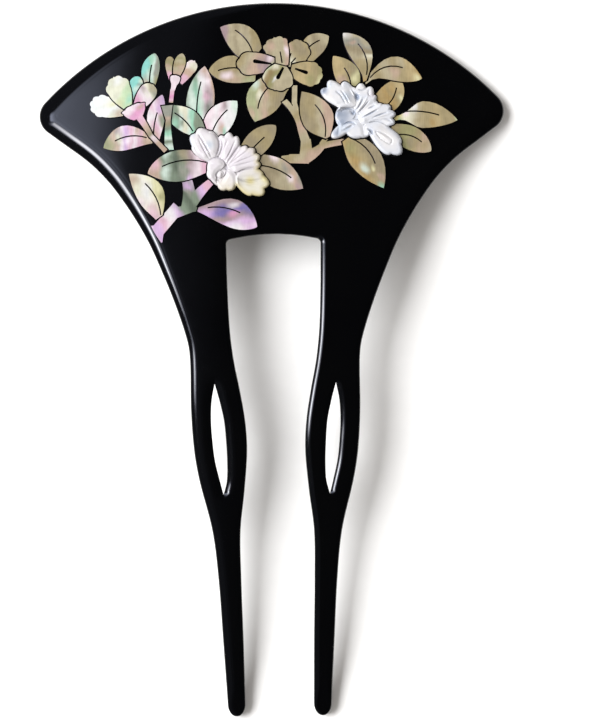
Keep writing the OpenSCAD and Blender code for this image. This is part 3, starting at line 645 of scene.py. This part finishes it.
def light_at(x, y):
    """Brightness of a white surface that follows the dome at this place."""
    up = Vector((x, y - DOME_Y * MM, DOME_R * MM)).normalized()
    towards = KEY_PLACE.normalized()
    return SHELL_LIGHT * (FILL + KEY_LEVEL * max(0, up.dot(towards)) / towards.z)


def tone(name, light):
    """Colour that looks like one of the tones in a light of this brightness."""
    def linear(c):
        c /= 255
        return c / 12.92 if c <= 0.04045 else ((c + 0.055) / 1.055) ** 2.4
    return tuple(min(PALEST, linear(c) / light) for c in TONES[name]) + (1,)


# Shell pieces: node, heading of the colour bands in degrees, strength of the fine growth lines,
# tones in order, then soft patches: place across and up the piece's own box in tenths, radius in
# tenths of a millimetre, tone
# Several white and pale patches are painted highlights of the shell's sheen, the rest its own
# colour
SHELL = [
    ("bloom_petal_a", -30, 0.05, "cream cream cream green_cream green_cream green_cream",
     "3,7,12,cream 9,3,6,mint 5,1,9,yellow_cream 5,9,9,white"),
    ("bloom_petal_b", -50, 0.05, "white warm_white white cream yellow_cream",
     "9,2,9,pink_tan 2,6,12,white 3,2,10,white 7,6,8,yellow_cream"),
    ("bloom_petal_c", -70, 0.08, "cyan cyan mint_white mint",
     "8,6,6,grey 5,4,7,mint_white 4,1,6,grey 9,8,5,cream"),
    ("bloom_petal_d", 30, 0.08, "pink pink pink_white pink_white cream pale_tan",
     "9,6,9,grey 1,1,10,rose 4,7,7,grey_pink 5,5,7,warm_white 8,8,7,pale_tan"),
    ("bloom_stem", -45, 0.06, "pink_white rose pink pink_tan grey_tan pink_tan pink_tan pink_tan",
     "2,9,5,pink_white 4,8,6,rose 0,7,6,pink 7,3,7,pink_white 4,9,5,pink_tan"),
    ("leaf_left_1", 0, 0.08, "cyan cyan mint mint_white grey grey_green",
     "2,1,9,pink_tan 4,3,7,mint_white 9,4,7,grey 5,9,8,mint 8,1,8,olive"),
    ("leaf_left_2", 10, 0.08, "pink_white pink_white pink pink_white pink_tan grey",
     "8,9,11,lilac 9,4,9,grey_green 3,1,12,pink_tan 3,5,8,white 7,7,8,lilac 5,3,7,pink"),
    ("leaf_left_3", 0, 0.14, "olive pink_tan pink_tan pink_white lilac pink pink_white pink "
     "pink_tan pale_tan",
     "1,2,9,olive 3,7,8,grey_pink 5,4,7,pink_white 9,4,9,pink_tan 3,5,7,cream 7,8,8,pink_tan"),
    ("leaf_left_4", 5, 0.08, "grey_green mint_white mint mint_white pink_white pink_white "
     "pink_tan",
     "3,8,13,grey_green 7,9,9,pink_tan 6,7,9,white 8,5,9,grey_pink 7,4,8,pink 8,2,13,dark_green "
     "2,3,12,mint_white 4,1,9,mint"),
    ("leaf_left_5", 0, 0.10, "grey_green grey_green mint_white cream mint_white mint grey_green "
     "grey_green grey",
     "1,4,8,mint 4,3,7,cream 6,7,9,mint 9,5,11,grey_green 3,9,8,cream 3,4,5,grey_green"),
    ("leaf_left_6", 0, 0.05, "pink_white pink_white white pink_white white white mint_white",
     "6,9,8,grey_pink 5,2,8,pink_tan 6,1,6,mint 0,2,10,pink 8,5,12,white 3,6,8,pink_white"),
    ("leaf_left_7", 5, 0.10, "pink_tan pink_tan grey_green grey_green dark_green grey_green "
     "grey_pink pink_white pink",
     "1,6,11,pink 3,9,8,mint_white 6,9,12,grey_tan 3,3,11,mint_white 5,1,9,grey_green "
     "8,3,13,pink_white 7,1,8,lilac 6,3,8,grey"),
    ("leaf_left_8", 15, 0.08, "pink_tan pink_tan cream warm_white cream yellow_cream olive",
     "1,9,10,pink_tan 7,1,18,pink 5,6,11,white 9,5,7,olive 8,7,8,yellow_cream 3,4,9,pink_white"),
    ("leaf_left_9", -80, 0.08, "grey_pink violet grey_pink lilac pink_white white blue_white",
     "9,6,10,violet 6,5,7,rose 3,8,8,grey_pink 1,5,14,lilac 6,1,12,white 9,1,9,lilac "
     "6,8,8,shell_white 8,8,7,violet 4,7,9,violet"),
    ("bud_petal_a", 80, 0.06, "rose pink_tan pale_tan olive tan", "7,2,6,pink 3,6,6,pink_tan"),
    ("bud_petal_b", 80, 0.06, "pink_tan pale_tan tan olive pale_tan",
     "2,5,5,tan 8,3,6,pink_tan 5,6,5,pale_tan"),
    ("bud_petal_c", 60, 0.06, "pink pink pink_tan pink_tan cream pink_white",
     "3,8,6,pink_white 9,8,6,cream 3,2,7,pink"),
    ("bud_stem", -90, 0.06, "pink_white pink rose pink pink_tan pink_tan grey_tan", ""),
    ("left_stem", -90, 0.10, "grey grey_tan grey_green mint mint_white grey_green mint_white mint "
     "grey_green", "6,7,6,pink_tan"),
    ("left_branch", 30, 0.08, "pink_white lilac pink pink_white lilac grey_green dark_green "
     "grey_green lilac pink",
     "1,0,8,pink_tan 3,5,13,white 6,9,9,lilac 1,2,9,lilac 7,7,8,grey_green 6,8,6,grey 9,9,9,pink "
     "3,2,8,pink_white"),
    ("leaf_centre_1", 0, 0.08, "grey_pink pale_tan grey_tan pale_tan pale_tan tan tan",
     "1,8,9,grey_pink 3,7,6,pale_tan 5,6,10,pale_tan 6,9,8,grey_tan 3,3,10,pale_tan "
     "9,2,8,grey_tan"),
    ("leaf_centre_2", -90, 0.08, "tan tan tan pale_tan pink_tan pale_tan",
     "5,2,13,pink_tan 4,3,8,pink_white 9,1,9,sage 1,5,8,tan 5,8,10,tan 7,3,8,pale_tan"),
    ("leaf_centre_3", 20, 0.08, "tan tan grey_tan pale_tan", "3,7,8,pale_tan 8,4,8,grey_tan"),
    ("leaf_centre_4", 0, 0.10, "sage sage pale_tan pink_tan tan tan grey_tan tan",
     "2,9,8,mint_white 1,5,8,sage 1,2,9,pink_tan 4,8,7,tan 3,6,6,cream 5,4,9,pale_tan "
     "7,4,9,grey_tan"),
    ("leaf_centre_5", 40, 0.06, "tan grey_tan tan grey_tan", "7,7,9,tan 3,3,9,grey_tan"),
    ("leaf_centre_6", 25, 0.10, "pink_tan grey_tan grey_tan grey_tan pale_tan pink_tan grey "
     "grey_tan",
     "3,9,8,pink_white 7,3,6,pink_white 6,6,8,grey 9,1,7,grey_pink 1,4,6,pink_tan 5,2,9,pale_tan"),
    ("flower_petal_a", 0, 0.08, "pale_tan grey_tan pale_tan pale_tan pale_tan pink_tan",
     "3,6,8,pink_tan 9,5,6,pink_white 6,9,7,pale_tan"),
    ("flower_petal_b", 30, 0.08, "pale_tan pale_tan tan grey_tan tan",
     "4,6,8,grey_tan 2,2,7,cream 8,3,8,tan 1,8,6,pink_tan"),
    ("flower_petal_c", -20, 0.08, "tan pale_tan pink_tan grey_pink pale_tan",
     "4,4,10,pink_tan 9,7,6,pink_white 6,5,7,grey_pink 9,2,7,green_cream 2,3,7,pale_tan"),
    ("flower_petal_d", -25, 0.08, "cream brown olive pale_tan pale_tan pale_tan cream",
     "2,9,7,green_cream 1,5,7,brown 3,3,7,olive 7,5,9,pale_tan 4,4,4,white 8,2,8,pale_tan "
     "4,9,6,cream 5,2,8,pale_tan"),
    ("flower_petal_e", -10, 0.08, "tan pale_gold pale_gold tan olive",
     "9,2,7,yellow_cream 4,8,8,tan 6,3,9,olive"),
    ("centre_branch", -60, 0.08, "pale_tan pale_tan tan pink_tan pale_tan tan pink_tan pale_tan "
     "pale_tan", "3,1,9,pale_tan 5,1,9,pink_tan 5,4,8,pink_tan 7,3,9,tan"),
    ("leaf_right_1", 0, 0.10, "pale_gold pale_gold tan tan olive olive",
     "8,3,9,yellow_cream 3,2,9,pink_tan 7,6,8,grey_tan 4,2,6,pink_tan 3,7,8,pale_gold"),
    ("leaf_right_2", 80, 0.10, "gold tan tan pale_tan grey_tan grey pale_tan",
     "0,10,10,white 5,8,7,grey 9,5,6,cream 6,4,9,tan 8,8,7,pale_tan 3,8,5,pink_tan"),
    ("leaf_right_3", 20, 0.10, "pale_tan tan pale_tan tan pale_gold gold",
     "9,2,7,yellow_cream 3,8,8,pale_tan 5,4,9,pink_tan 8,6,9,pale_gold 6,8,8,pale_tan"),
    ("leaf_right_4", 30, 0.10, "gold pale_gold gold tan pale_gold",
     "9,4,6,yellow_cream 6,8,8,gold 2,4,9,gold 9,1,5,honey"),
    ("leaf_right_5", 0, 0.10, "honey cream pale_tan tan pale_gold tan tan",
     "1,2,6,mint 2,3,7,cream 3,8,7,white 2,6,5,pink_white 10,3,6,green_cream 6,2,6,gold 6,8,8,tan "
     "4,3,9,tan"),
    ("leaf_right_6", -20, 0.10, "tan olive olive tan pink_tan pale_tan",
     "3,8,9,olive 8,2,9,tan 5,4,9,grey_tan"),
    ("leaf_right_7", 28, 0.10, "tan olive pale_gold gold tan grey_tan grey_tan grey_tan",
     "2,8,11,olive 8,6,9,grey_tan 1,5,9,gold 5,4,8,mint_white 7,4,4,yellow_cream 9,0,7,mint "
     "9,2,6,pink_tan"),
    ("leaf_right_8", 10, 0.08, "tan grey_tan tan pale_tan pink_tan pink_tan",
     "2,7,12,tan 8,4,11,pink_tan 4,3,8,grey_tan"),
]

# Nacre, in metres: how far the bands waver, and the mean of that, which their places allow for
WAVER = 0.0018
WAVER_MEAN = WAVER / 2
# Soft patches: how much of the colour under them they hide, how far they stretch along the bands,
# and where they start and stop fading, as shares of their radius
PATCH_COVER = 0.85
PATCH_SQUEEZE = 0.6
PATCH_FADE = (1.35, 0.05)
# Growth lines: fine across the bands and long along them
LINE_SCALE = (5200, 500, 500)


def read_patches(text):
    """Two numbers of place, a radius and a tone, for each patch."""
    words = [word.split(",") for word in text.split()]
    return [(int(a), int(b), int(radius), name) for a, b, radius, name in words]


def patched(tree, colour, place, rows, light, cover, turn=0.0, squeeze=1.0):
    """The colour with soft patches over it, rows of x, y, radius and tone, stretched one way."""
    flat = turned(tree, place, turn, (1, 1, 0))
    for x, y, radius, word in rows:
        u = x * math.cos(turn) + y * math.sin(turn)
        v = y * math.cos(turn) - x * math.sin(turn)
        offset = vector_node(tree, "MULTIPLY_ADD", flat, (1, squeeze, 0), (-u, -v * squeeze, 0))
        far = vector_node(tree, "LENGTH", offset)
        near = soft_step(tree, far, PATCH_FADE[0] * radius, PATCH_FADE[1] * radius)
        share = math_node(tree, "MULTIPLY", near, cover)
        colour = mixed(tree, share, colour, tone(word, light))
    return colour


def bands(tree, place, low, high, a, names, light):
    """Bands of tone over a piece, across a heading, each as wide as the next."""
    corners = [x * math.cos(a) + y * math.sin(a) for x in (low.x, high.x) for y in (low.y, high.y)]
    along = vector_node(tree, "DOT_PRODUCT", place, (math.cos(a), math.sin(a), 0))
    span = spread(tree, along, 0, 1, min(corners) + WAVER_MEAN, max(corners) + WAVER_MEAN)
    names = names.split()
    stops = [((i + 0.5) / len(names), tone(word, light)) for i, word in enumerate(names)]
    return ramp(tree, span, stops, "EASE")


def nacre(name, heading, lines, names, patches):
    """Mother-of-pearl: wavering bands, soft patches, clouds and fine growth lines over a piece."""
    mat, tree, shader = new_material("shell_" + name)
    link = tree.links.new
    low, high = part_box(name)
    light = light_at((low.x + high.x) / 2, (low.y + high.y) / 2)
    a = math.radians(heading)
    place = tree.nodes.new("ShaderNodeTexCoord").outputs["Object"]
    waver = noise(tree, place, scale=330, detail=2, output="Color")
    shifted = vector_node(tree, "MULTIPLY_ADD", waver, (WAVER,) * 3, place)
    colour = bands(tree, shifted, low, high, a, names, light)
    rows = []
    for across, up, radius, word in read_patches(patches):
        x, y = mix(low.x, high.x, across / 10), mix(low.y, high.y, up / 10)
        rows.append((x + WAVER_MEAN, y + WAVER_MEAN, radius * TENTH, word))
    # Patches: the shell's own colour, and in several pale ones painted highlights of its sheen
    colour = patched(tree, colour, shifted, rows, light, PATCH_COVER, a, PATCH_SQUEEZE)
    grain = noise(tree, turned(tree, place, a, LINE_SCALE), scale=1, detail=3)
    cloud = noise(tree, place, scale=620, detail=4)
    level = spread(tree, grain, 1 - lines, 1 + 0.6 * lines, start=0.3, end=0.7)
    veil = spread(tree, cloud, low=0.90, high=1.07, start=0.35, end=0.65)
    bright = math_node(tree, "MULTIPLY", level, veil)
    link(vector_node(tree, "MULTIPLY", colour, bright), shader.inputs["Base Color"])
    add_roughness(tree, shader, cloud, low=0.16, high=0.30)
    shader.inputs["Coat Weight"].default_value = 0.4
    shader.inputs["Coat Roughness"].default_value = 0.08
    shader.inputs["Thin Film Thickness"].default_value = 380
    shader.inputs["Thin Film IOR"].default_value = 1.65
    add_bump(tree, shader, grain, strength=0.4, distance=0.01 * MM)
    return mat


def dress_shell():
    for name, heading, lines, names, patches in SHELL:
        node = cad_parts[name]
        mat = nacre(name, heading, lines, names, patches)
        if not node.material_slots:
            node.data.materials.append(mat)
        for slot in node.material_slots:
            slot.material = mat


# Carved blooms, their outline as in the source: middle of the bloom, reach of its middle part, and
# petals with their direction, half angle, reach, power of the tip, lobes and depth of the lobes
OUTLINES = {
    "bloom_left": ((-7.9, 33.5), 3.5, [
        (131, 32, 8.8, 0.35, 4, 0.06), (86, 42, 6.35, 0.4, 5, 0.09), (20, 55, 6.15, 0.4, 7, 0.08),
        (-29, 36, 8.1, 0.4, 4, 0.08), (-92, 44, 4.2, 0.3, 2, 0.1), (200, 50, 3.75, 0.2, 3, 0.06),
    ]),
    "bloom_right": ((15.7, 42.5), 3.7, [
        (140, 22, 8.9, 0.3, 2, 0.13), (118, 16, 6.7, 0.3, 1, 0), (90, 54, 5.65, 0.3, 5, 0.12),
        (-6, 50, 6.1, 0.4, 6, 0.1), (-45, 25, 9.75, 0.4, 3, 0.07), (-115, 70, 4.3, 0.2, 3, 0.05),
        (216, 25, 6.5, 1, 1, 0), (185, 45, 4.6, 0.2, 1, 0),
    ]),
}
# Petals seen inside the outline: height at the middle, height at the rim, width of the rolled rim,
# then the points of the petal's edge from the middle of the bloom, in tenths of a millimetre
PETALS = {
    "bloom_left": [
        (0.60, 0.60, 1.0, "-40,-40 40,-40 40,40 -40,40"),
        (1.10, 0.85, 1.2, "-5,13 -14,22 -14,45 -16,66 0,72 24,62 30,44 14,22 0,8"),
        (1.22, 0.95, 1.2, "0,4 27,43 40,52 62,34 70,8 58,-2 30,-1 15,-6 6,-1"),
        (1.02, 1.22, 1.3, "18,-12 29,-4 46,-2 66,-2 84,-18 84,-44 58,-62 30,-54 16,-38 16,-24"),
        (1.18, 0.92, 0.9, "-2,-4 6,-3 13,-8 17,-18 17,-32 13,-42 -5,-47 -19,-39 -22,-24 -12,-22 "
         "-6,-13"),
        (1.25, 0.98, 0.9, "-5,5 -6,12 -12,18 -20,19 -30,16 -42,8 -42,-10 -36,-32 -20,-30 -20,-18 "
         "-18,-8 -11,-1"),
        (1.36, 1.00, 1.3, "-39,11 -66,27 -76,48 -66,71 -47,76 -25,69 -16,59 -13,46 -12,34 -17,22 "
         "-27,18 -34,14"),
        (1.12, 0.80, 0.5, "-17,-8 -11,-5 -7,-9 -8,-15 -13,-18 -18,-14"),
    ],
    "bloom_right": [
        (0.62, 0.62, 1.0, "-40,-40 40,-40 40,40 -40,40"),
        (0.66, 0.80, 1.4, "-46,10 -16,12 -11,3 -18,-8 -32,-14 -43,-28 -58,-44 -54,-8"),
        (1.12, 0.92, 1.0, "-21,51 -16,64 6,68 34,52 34,30 22,20 7,9 -5,3 -11,10 -12,27"),
        (1.28, 1.00, 1.0, "-3,0 12,14 23,21 40,31 70,14 72,-8 60,-25 50,-21 41,-15 30,-11 16,-11 "
         "6,-16 -2,-12"),
        (1.28, 1.02, 1.3, "4,-19 16,-14 30,-13 43,-19 60,-26 76,-46 80,-72 45,-82 18,-56 7,-42 "
         "4,-30"),
        (1.16, 0.95, 1.0, "-34,-17 -25,-10 -12,-8 -1,-12 5,-21 7,-31 8,-42 -20,-45 -50,-51 "
         "-62,-40 -45,-25"),
        (1.30, 1.00, 1.3, "-45,8 -60,23 -84,34 -82,56 -62,72 -40,68 -22,56 -14,42 -11,30 -10,18 "
         "-20,15 -34,14"),
    ],
}
# Cuts and ridges of the carving: half width, depth (a ridge is above 0), then start, middle and end
# of the stroke from the middle of the bloom, in tenths of a millimetre
STROKES = {
    "bloom_left": [
        (0.16, -0.34, "-51,64 -38,41 -28,22"), (0.13, -0.28, "-49,53 -42,37 -32,19"),
        (0.20, -0.14, "-60,52 -54,33 -38,14"), (0.15, -0.36, "-19,59 -13,41 -20,19"),
        (0.14, -0.32, "-10,52 -8,36 -16,19"), (0.20, 0.12, "-45,50 -37,36 -31,22"),
        (0.15, -0.18, "-10,19 -5,34 1,48"), (0.14, -0.26, "-3,14 6,29 14,47"),
        (0.15, -0.32, "0,9 12,26 23,41"), (0.14, 0.12, "3,8 14,23 26,37"),
        (0.15, -0.20, "3,7 20,19 39,33"), (0.15, -0.20, "4,5 24,13 47,22"),
        (0.15, -0.18, "6,3 27,7 50,13"), (0.16, -0.34, "21,-6 36,-1 51,0"),
        (0.22, 0.12, "14,-4 30,3 50,4"), (0.24, -0.42, "20,-18 38,-23 61,-20"),
        (0.30, 0.16, "23,-13 40,-11 58,-14"), (0.16, -0.14, "29,-28 40,-30 52,-32"),
        (0.15, 0.15, "18,-15 18,-24 21,-32"), (0.14, -0.26, "-38,8 -20,19 -5,12"),
        (0.11, -0.26, "-5,12 -1,5 -1,-2"), (0.12, -0.36, "-11,-1 -19,-10 -16,-17"),
        (0.10, -0.30, "-16,-17 -7,-15 -1,-4"), (0.10, -0.22, "2,-4 -5,-13 -10,-22"),
        (0.12, -0.20, "-20,-19 -19,-22 -16,-31"), (0.30, -0.30, "-2,3 -1,0 0,-3"),
    ],
    "bloom_right": [
        (0.16, -0.30, "-43,42 -34,34 -28,22"), (0.12, -0.26, "-34,43 -27,33 -22,23"),
        (0.14, 0.16, "-39,40 -32,32 -26,22"), (0.14, 0.12, "-30,42 -25,33 -20,25"),
        (0.34, 0.34, "-44,9 -32,17 -13,17"), (0.16, -0.30, "-34,8 -24,12 -13,9"),
        (0.30, -0.24, "-78,36 -66,42 -56,52"), (0.12, 0.22, "-18,45 -14,38 -11,34"),
        (0.34, -0.50, "-10,38 -7,32 -7,26"), (0.14, 0.16, "1,31 -4,22 -9,14"),
        (0.12, -0.28, "3,27 -3,17 -9,9"), (0.14, 0.14, "11,33 3,19 -7,8"),
        (0.12, -0.26, "13,24 3,13 -7,3"), (0.16, -0.16, "-8,50 2,44 11,50"),
        (0.16, -0.16, "14,44 14,36 22,34"), (0.13, -0.30, "2,-4 14,2 27,9"),
        (0.12, -0.28, "20,-5 31,0 44,4"), (0.12, -0.24, "13,12 18,14 24,17"),
        (0.16, 0.12, "4,0 18,7 32,14"), (0.16, 0.12, "12,-6 30,-3 50,3"),
        (0.20, 0.16, "14,-10 32,-7 50,-16"), (0.14, -0.16, "36,-8 46,-8 54,-14"),
        (0.22, -0.50, "12,-25 17,-29 18,-33"), (0.16, 0.20, "10,-33 13,-35 16,-33"),
        (0.11, -0.22, "25,-29 39,-33 53,-43"), (0.11, -0.22, "53,-43 50,-51 40,-46"),
        (0.11, -0.18, "40,-46 30,-38 25,-29"), (0.16, 0.14, "28,-31 38,-37 48,-45"),
        (0.16, -0.36, "-33,-17 -22,-12 -11,-15"), (0.12, 0.24, "-31,-21 -25,-19 -18,-16"),
        (0.16, -0.24, "-34,-26 -26,-24 -17,-19"), (0.24, -0.34, "-18,8 -14,3 -11,8"),
        (0.20, -0.20, "-44,-8 -40,-18 -42,-34"),
    ],
}
# Soft tints of the blooms: place from the middle of the bloom and radius in tenths of a
# millimetre, tone. The slate and ice tints of bloom_right are painted shade, in its hollows and
# deepest cuts and towards its left edge.
TINTS = {
    "bloom_left":
        "3,34,24,shell_white 26,14,24,shell_white -23,8,13,shell_white -2,-26,15,warm_white "
        "45,-30,30,cream 40,-22,9,honey 66,-20,10,yellow_cream -66,45,11,ice -62,62,8,ice "
        "-30,42,9,ice",
    "bloom_right":
        "-30,1,17,slate -40,4,9,slate -34,-12,9,slate -44,-30,10,slate -38,-22,9,ice "
        "-65,44,9,slate -58,54,8,ice -26,34,11,ice -7,33,6,slate -14,5,4,slate 46,-46,28,white "
        "17,-31,5,slate -27,-24,8,ice 20,36,9,shell_white",
}

# Finish of the blooms: slot, two tones of plain shell, tone and strength of the painted shade in
# the cuts, tone of the painted glow at the thin rim, and how deep the cuts go as a share of their
# depth in the table
FINISH = {
    "bloom_left": ("shell_warm", ("shell_white", "white"), "lavender", 0.7, "honey", 0.7),
    "bloom_right": ("shell_white", ("blue_white", "white"), "slate", 0.85, "blue_white", 0.9),
}
# Carving, in millimetres: height of the ground under the petals, of the valleys between them and
# the width of their steep sides, width of the rounded rim and share of the height at its foot
GROUND = 0.6
VALLEY = 0.5
SIDE_W = 0.22
RIM_W = 0.55
RIM_FOOT = 0.42
# Share of a cut's depth at its two ends, depth of a cut that takes the full painted shade, and
# width of the thin rim that takes the painted glow
CUT_END = 0.35
FULL_CUT = 0.3
PAINTED_GLOW_W = 1.1
# Side of a bloom, away from the key lamp, on which its thin rim takes a painted glow of light
# through the shell: its heading, and where from the middle it fades in
PAINTED_GLOW_HEADING = math.radians(-40)
PAINTED_GLOW_SIDE = (-1.0, 4.5)
# How much of the colour under it a tint hides, and how strongly the painted glow at the thin rim
# shows
TINT_COVER = 0.8
PAINTED_GLOW_COVER = 0.9
# Points along a stroke
STROKE_POINTS = 13
# Grid of a bloom: points round it, rings from its middle, and how the rings crowd to the rim
TURNS = 420
RINGS = 78
CROWDING = 0.85
# Rings of points on its flat underside, as shares of its reach
UNDERSIDE = (1.0, 0.5)


def pairs(text):
    return np.array([[float(c) / 10 for c in word.split(",")] for word in text.split()])


def petal_reach(row, a):
    """How far a petal of the outline reaches from the middle of the bloom in one direction."""
    direction, half_angle, reach, power, lobes, depth = row
    d = ((a - direction + 900) % 360 - 180) / half_angle
    if abs(d) >= 1:
        return 0
    lobe = abs(math.sin(math.radians(90 * lobes * (d + 1))))
    return reach * math.cos(math.radians(90 * d)) ** power * (1 - depth * (1 - lobe))


def rounded_loop(points, n=6):
    """Closed smooth curve through the points."""
    out = []
    for i in range(len(points)):
        p0, p1, p2, p3 = (points[(i + k) % len(points)] for k in (-1, 0, 1, 2))
        for s in range(n):
            t = s / n
            out.append(0.5 * (2 * p1 + (p2 - p0) * t + (2 * p0 - 5 * p1 + 4 * p2 - p3) * t * t
                              + (3 * p1 - p0 - 3 * p2 + p3) * t ** 3))
    return np.array(out)


def to_line(p, line):
    """Distance from every point to a broken line, and how far along it the nearest point is."""
    best = np.full(len(p), 1e9)
    where = np.zeros(len(p))
    for i in range(len(line) - 1):
        a, b = line[i], line[i + 1]
        t = np.clip(((p - a) @ (b - a)) / max(1e-9, (b - a) @ (b - a)), 0, 1)
        d = np.linalg.norm(p - a - t[:, None] * (b - a), axis=1)
        where = np.where(d < best, (i + t) / (len(line) - 1), where)
        best = np.minimum(best, d)
    return best, where


def ease(s):
    """The smooth step from 0 to 1 for many values at once."""
    s = np.clip(s, 0, 1)
    return 3 * s * s - 2 * s ** 3


def relief(name, p):
    """Height of the carving over the lacquer at points given from the bloom's middle, and cuts."""
    height = np.full(len(p), GROUND)
    for middle, rim, width, text in PETALS[name]:
        loop = rounded_loop(pairs(text))
        d, _ = to_line(p, np.vstack([loop, loop[:1]]))
        d = np.where(inside_loop(p, loop), d, -d)
        petal = rim + (middle - rim) * ease(d / width)
        height = np.maximum(height, petal - (petal - VALLEY) * ease(-d / SIDE_W))
    cut = np.zeros(len(p))
    for width, depth, text in STROKES[name]:
        a, m, b = pairs(text)
        t = np.linspace(0, 1, STROKE_POINTS)[:, None]
        line = (1 - t) ** 2 * a + 2 * t * (1 - t) * (2 * m - (a + b) / 2) + t * t * b
        d, where = to_line(p, line)
        fade = CUT_END + (1 - CUT_END) * np.sin(math.pi * where)
        cut = cut + depth * FINISH[name][-1] * np.exp(-(d / width) ** 2) * fade
    return height + cut, cut


def bloom_mesh(name):
    """Points and faces of a carved bloom on a fine round grid, and masks of its painted cut shade
    and rim glow.
    """
    centre, middle, rows = OUTLINES[name]
    edge = []
    for i in range(TURNS):
        a = 360 * i / TURNS
        reach = max(middle, max(petal_reach(row, a) for row in rows))
        edge.append(polar(0, 0, reach, a))
    edge = np.array(edge)
    rings = [edge * (j / RINGS) ** CROWDING for j in range(1, RINGS + 1)]
    p = np.vstack([np.zeros((1, 2))] + rings)
    height, cut = relief(name, p)
    rim, _ = to_line(p, np.vstack([edge, edge[:1]]))
    s = 1 - np.clip(rim / RIM_W, 0, 1)
    height = height * (RIM_FOOT + (1 - RIM_FOOT) * np.sqrt(np.clip(1 - s * s, 0, 1)))
    under = np.vstack([edge * f for f in UNDERSIDE] + [np.zeros((1, 2))])
    height = np.concatenate([height, np.zeros(len(under))])
    verts = []
    for (x, y), h in zip(np.vstack([p, under]) + centre, height):
        verts.append((x, y, face_z(x, y, 1) + SHELL_GAP + h))
    faces = [(0, 1 + i, 1 + (i + 1) % TURNS) for i in range(TURNS)]
    faces += ring_faces(1, TURNS, RINGS + len(UNDERSIDE))
    last = len(verts) - 1
    base = last - TURNS
    faces += [(last, base + (i + 1) % TURNS, base + i) for i in range(TURNS)]
    # Painted shade: a mask that darkens the cuts by their depth
    painted_cut_shade = np.concatenate([np.clip(-cut / FULL_CUT, 0, 1), np.zeros(len(under))])
    # Painted glow of light through the shell near its outline
    thin = np.concatenate([np.clip(1 - rim / PAINTED_GLOW_W, 0, 1), np.ones(len(under))])
    return verts, faces, painted_cut_shade, thin


def carved_shell(name):
    """White shell with soft tints, painted shade in the cuts and a painted glow at its thin rim."""
    _, plain, shade, shade_share, painted_glow_tone, _ = FINISH[name]
    mat, tree, shader = new_material("carved_" + name)
    link = tree.links.new
    centre_x, centre_y = (c * MM for c in OUTLINES[name][0])
    light = light_at(centre_x, centre_y)
    place = tree.nodes.new("ShaderNodeTexCoord").outputs["Object"]
    cloud = noise(tree, place, scale=420, detail=3)
    stops = [(0.3, tone(plain[0], light)), (0.7, tone(plain[1], light))]
    colour = ramp(tree, cloud, stops)
    carving = tree.nodes.new("ShaderNodeVertexColor")
    carving.layer_name = "carving"
    parts = tree.nodes.new("ShaderNodeSeparateColor")
    link(carving.outputs["Color"], parts.inputs[0])
    # Painted shade in the cuts, from the red of the carving colours
    cut = math_node(tree, "MULTIPLY", parts.outputs["Red"], shade_share)
    colour = mixed(tree, cut, colour, tone(shade, light))
    rows = [(centre_x + x * TENTH, centre_y + y * TENTH, radius * TENTH, word)
            for x, y, radius, word in read_patches(TINTS[name])]
    colour = patched(tree, colour, place, rows, light, TINT_COVER)
    # Painted glow at the thin rim, from the green of the carving colours
    rim = math_node(tree, "MULTIPLY", parts.outputs["Green"], PAINTED_GLOW_COVER)
    link(mixed(tree, rim, colour, tone(painted_glow_tone, light)), shader.inputs["Base Color"])
    add_roughness(tree, shader, cloud, low=0.22, high=0.36)
    shader.inputs["Coat Weight"].default_value = 0.3
    shader.inputs["Coat Roughness"].default_value = 0.1
    marks = noise(tree, place, scale=2400, detail=3)
    add_bump(tree, shader, marks, strength=0.5, distance=0.03 * MM)
    return mat


def make_bloom(name):
    """A carved bloom, with its painted cut shade and painted rim glow kept as the colours of its
    points.
    """
    verts, faces, painted_cut_shade, thin = bloom_mesh(name)
    obj = mesh_object("carved_" + name, verts, faces, [name], carved_shell(name))
    layer = obj.data.color_attributes.new("carving", "FLOAT_COLOR", "POINT")
    away = Vector((math.cos(PAINTED_GLOW_HEADING), math.sin(PAINTED_GLOW_HEADING)))
    centre = Vector(OUTLINES[name][0])
    for i, (x, y, _) in enumerate(verts):
        # Red: painted shade in the cuts; green: painted glow at the thin rim, on the side away from
        # the key
        side = smooth(*PAINTED_GLOW_SIDE, (Vector((x, y)) - centre).dot(away))
        layer.data[i].color = (painted_cut_shade[i], thin[i] * side, 0, 1)


bpy.context.scene.view_settings.view_transform = "Standard"
make_camera()
make_floor()
make_world()
make_key()
make_body()
dress_shell()
make_bloom("bloom_left")
make_bloom("bloom_right")
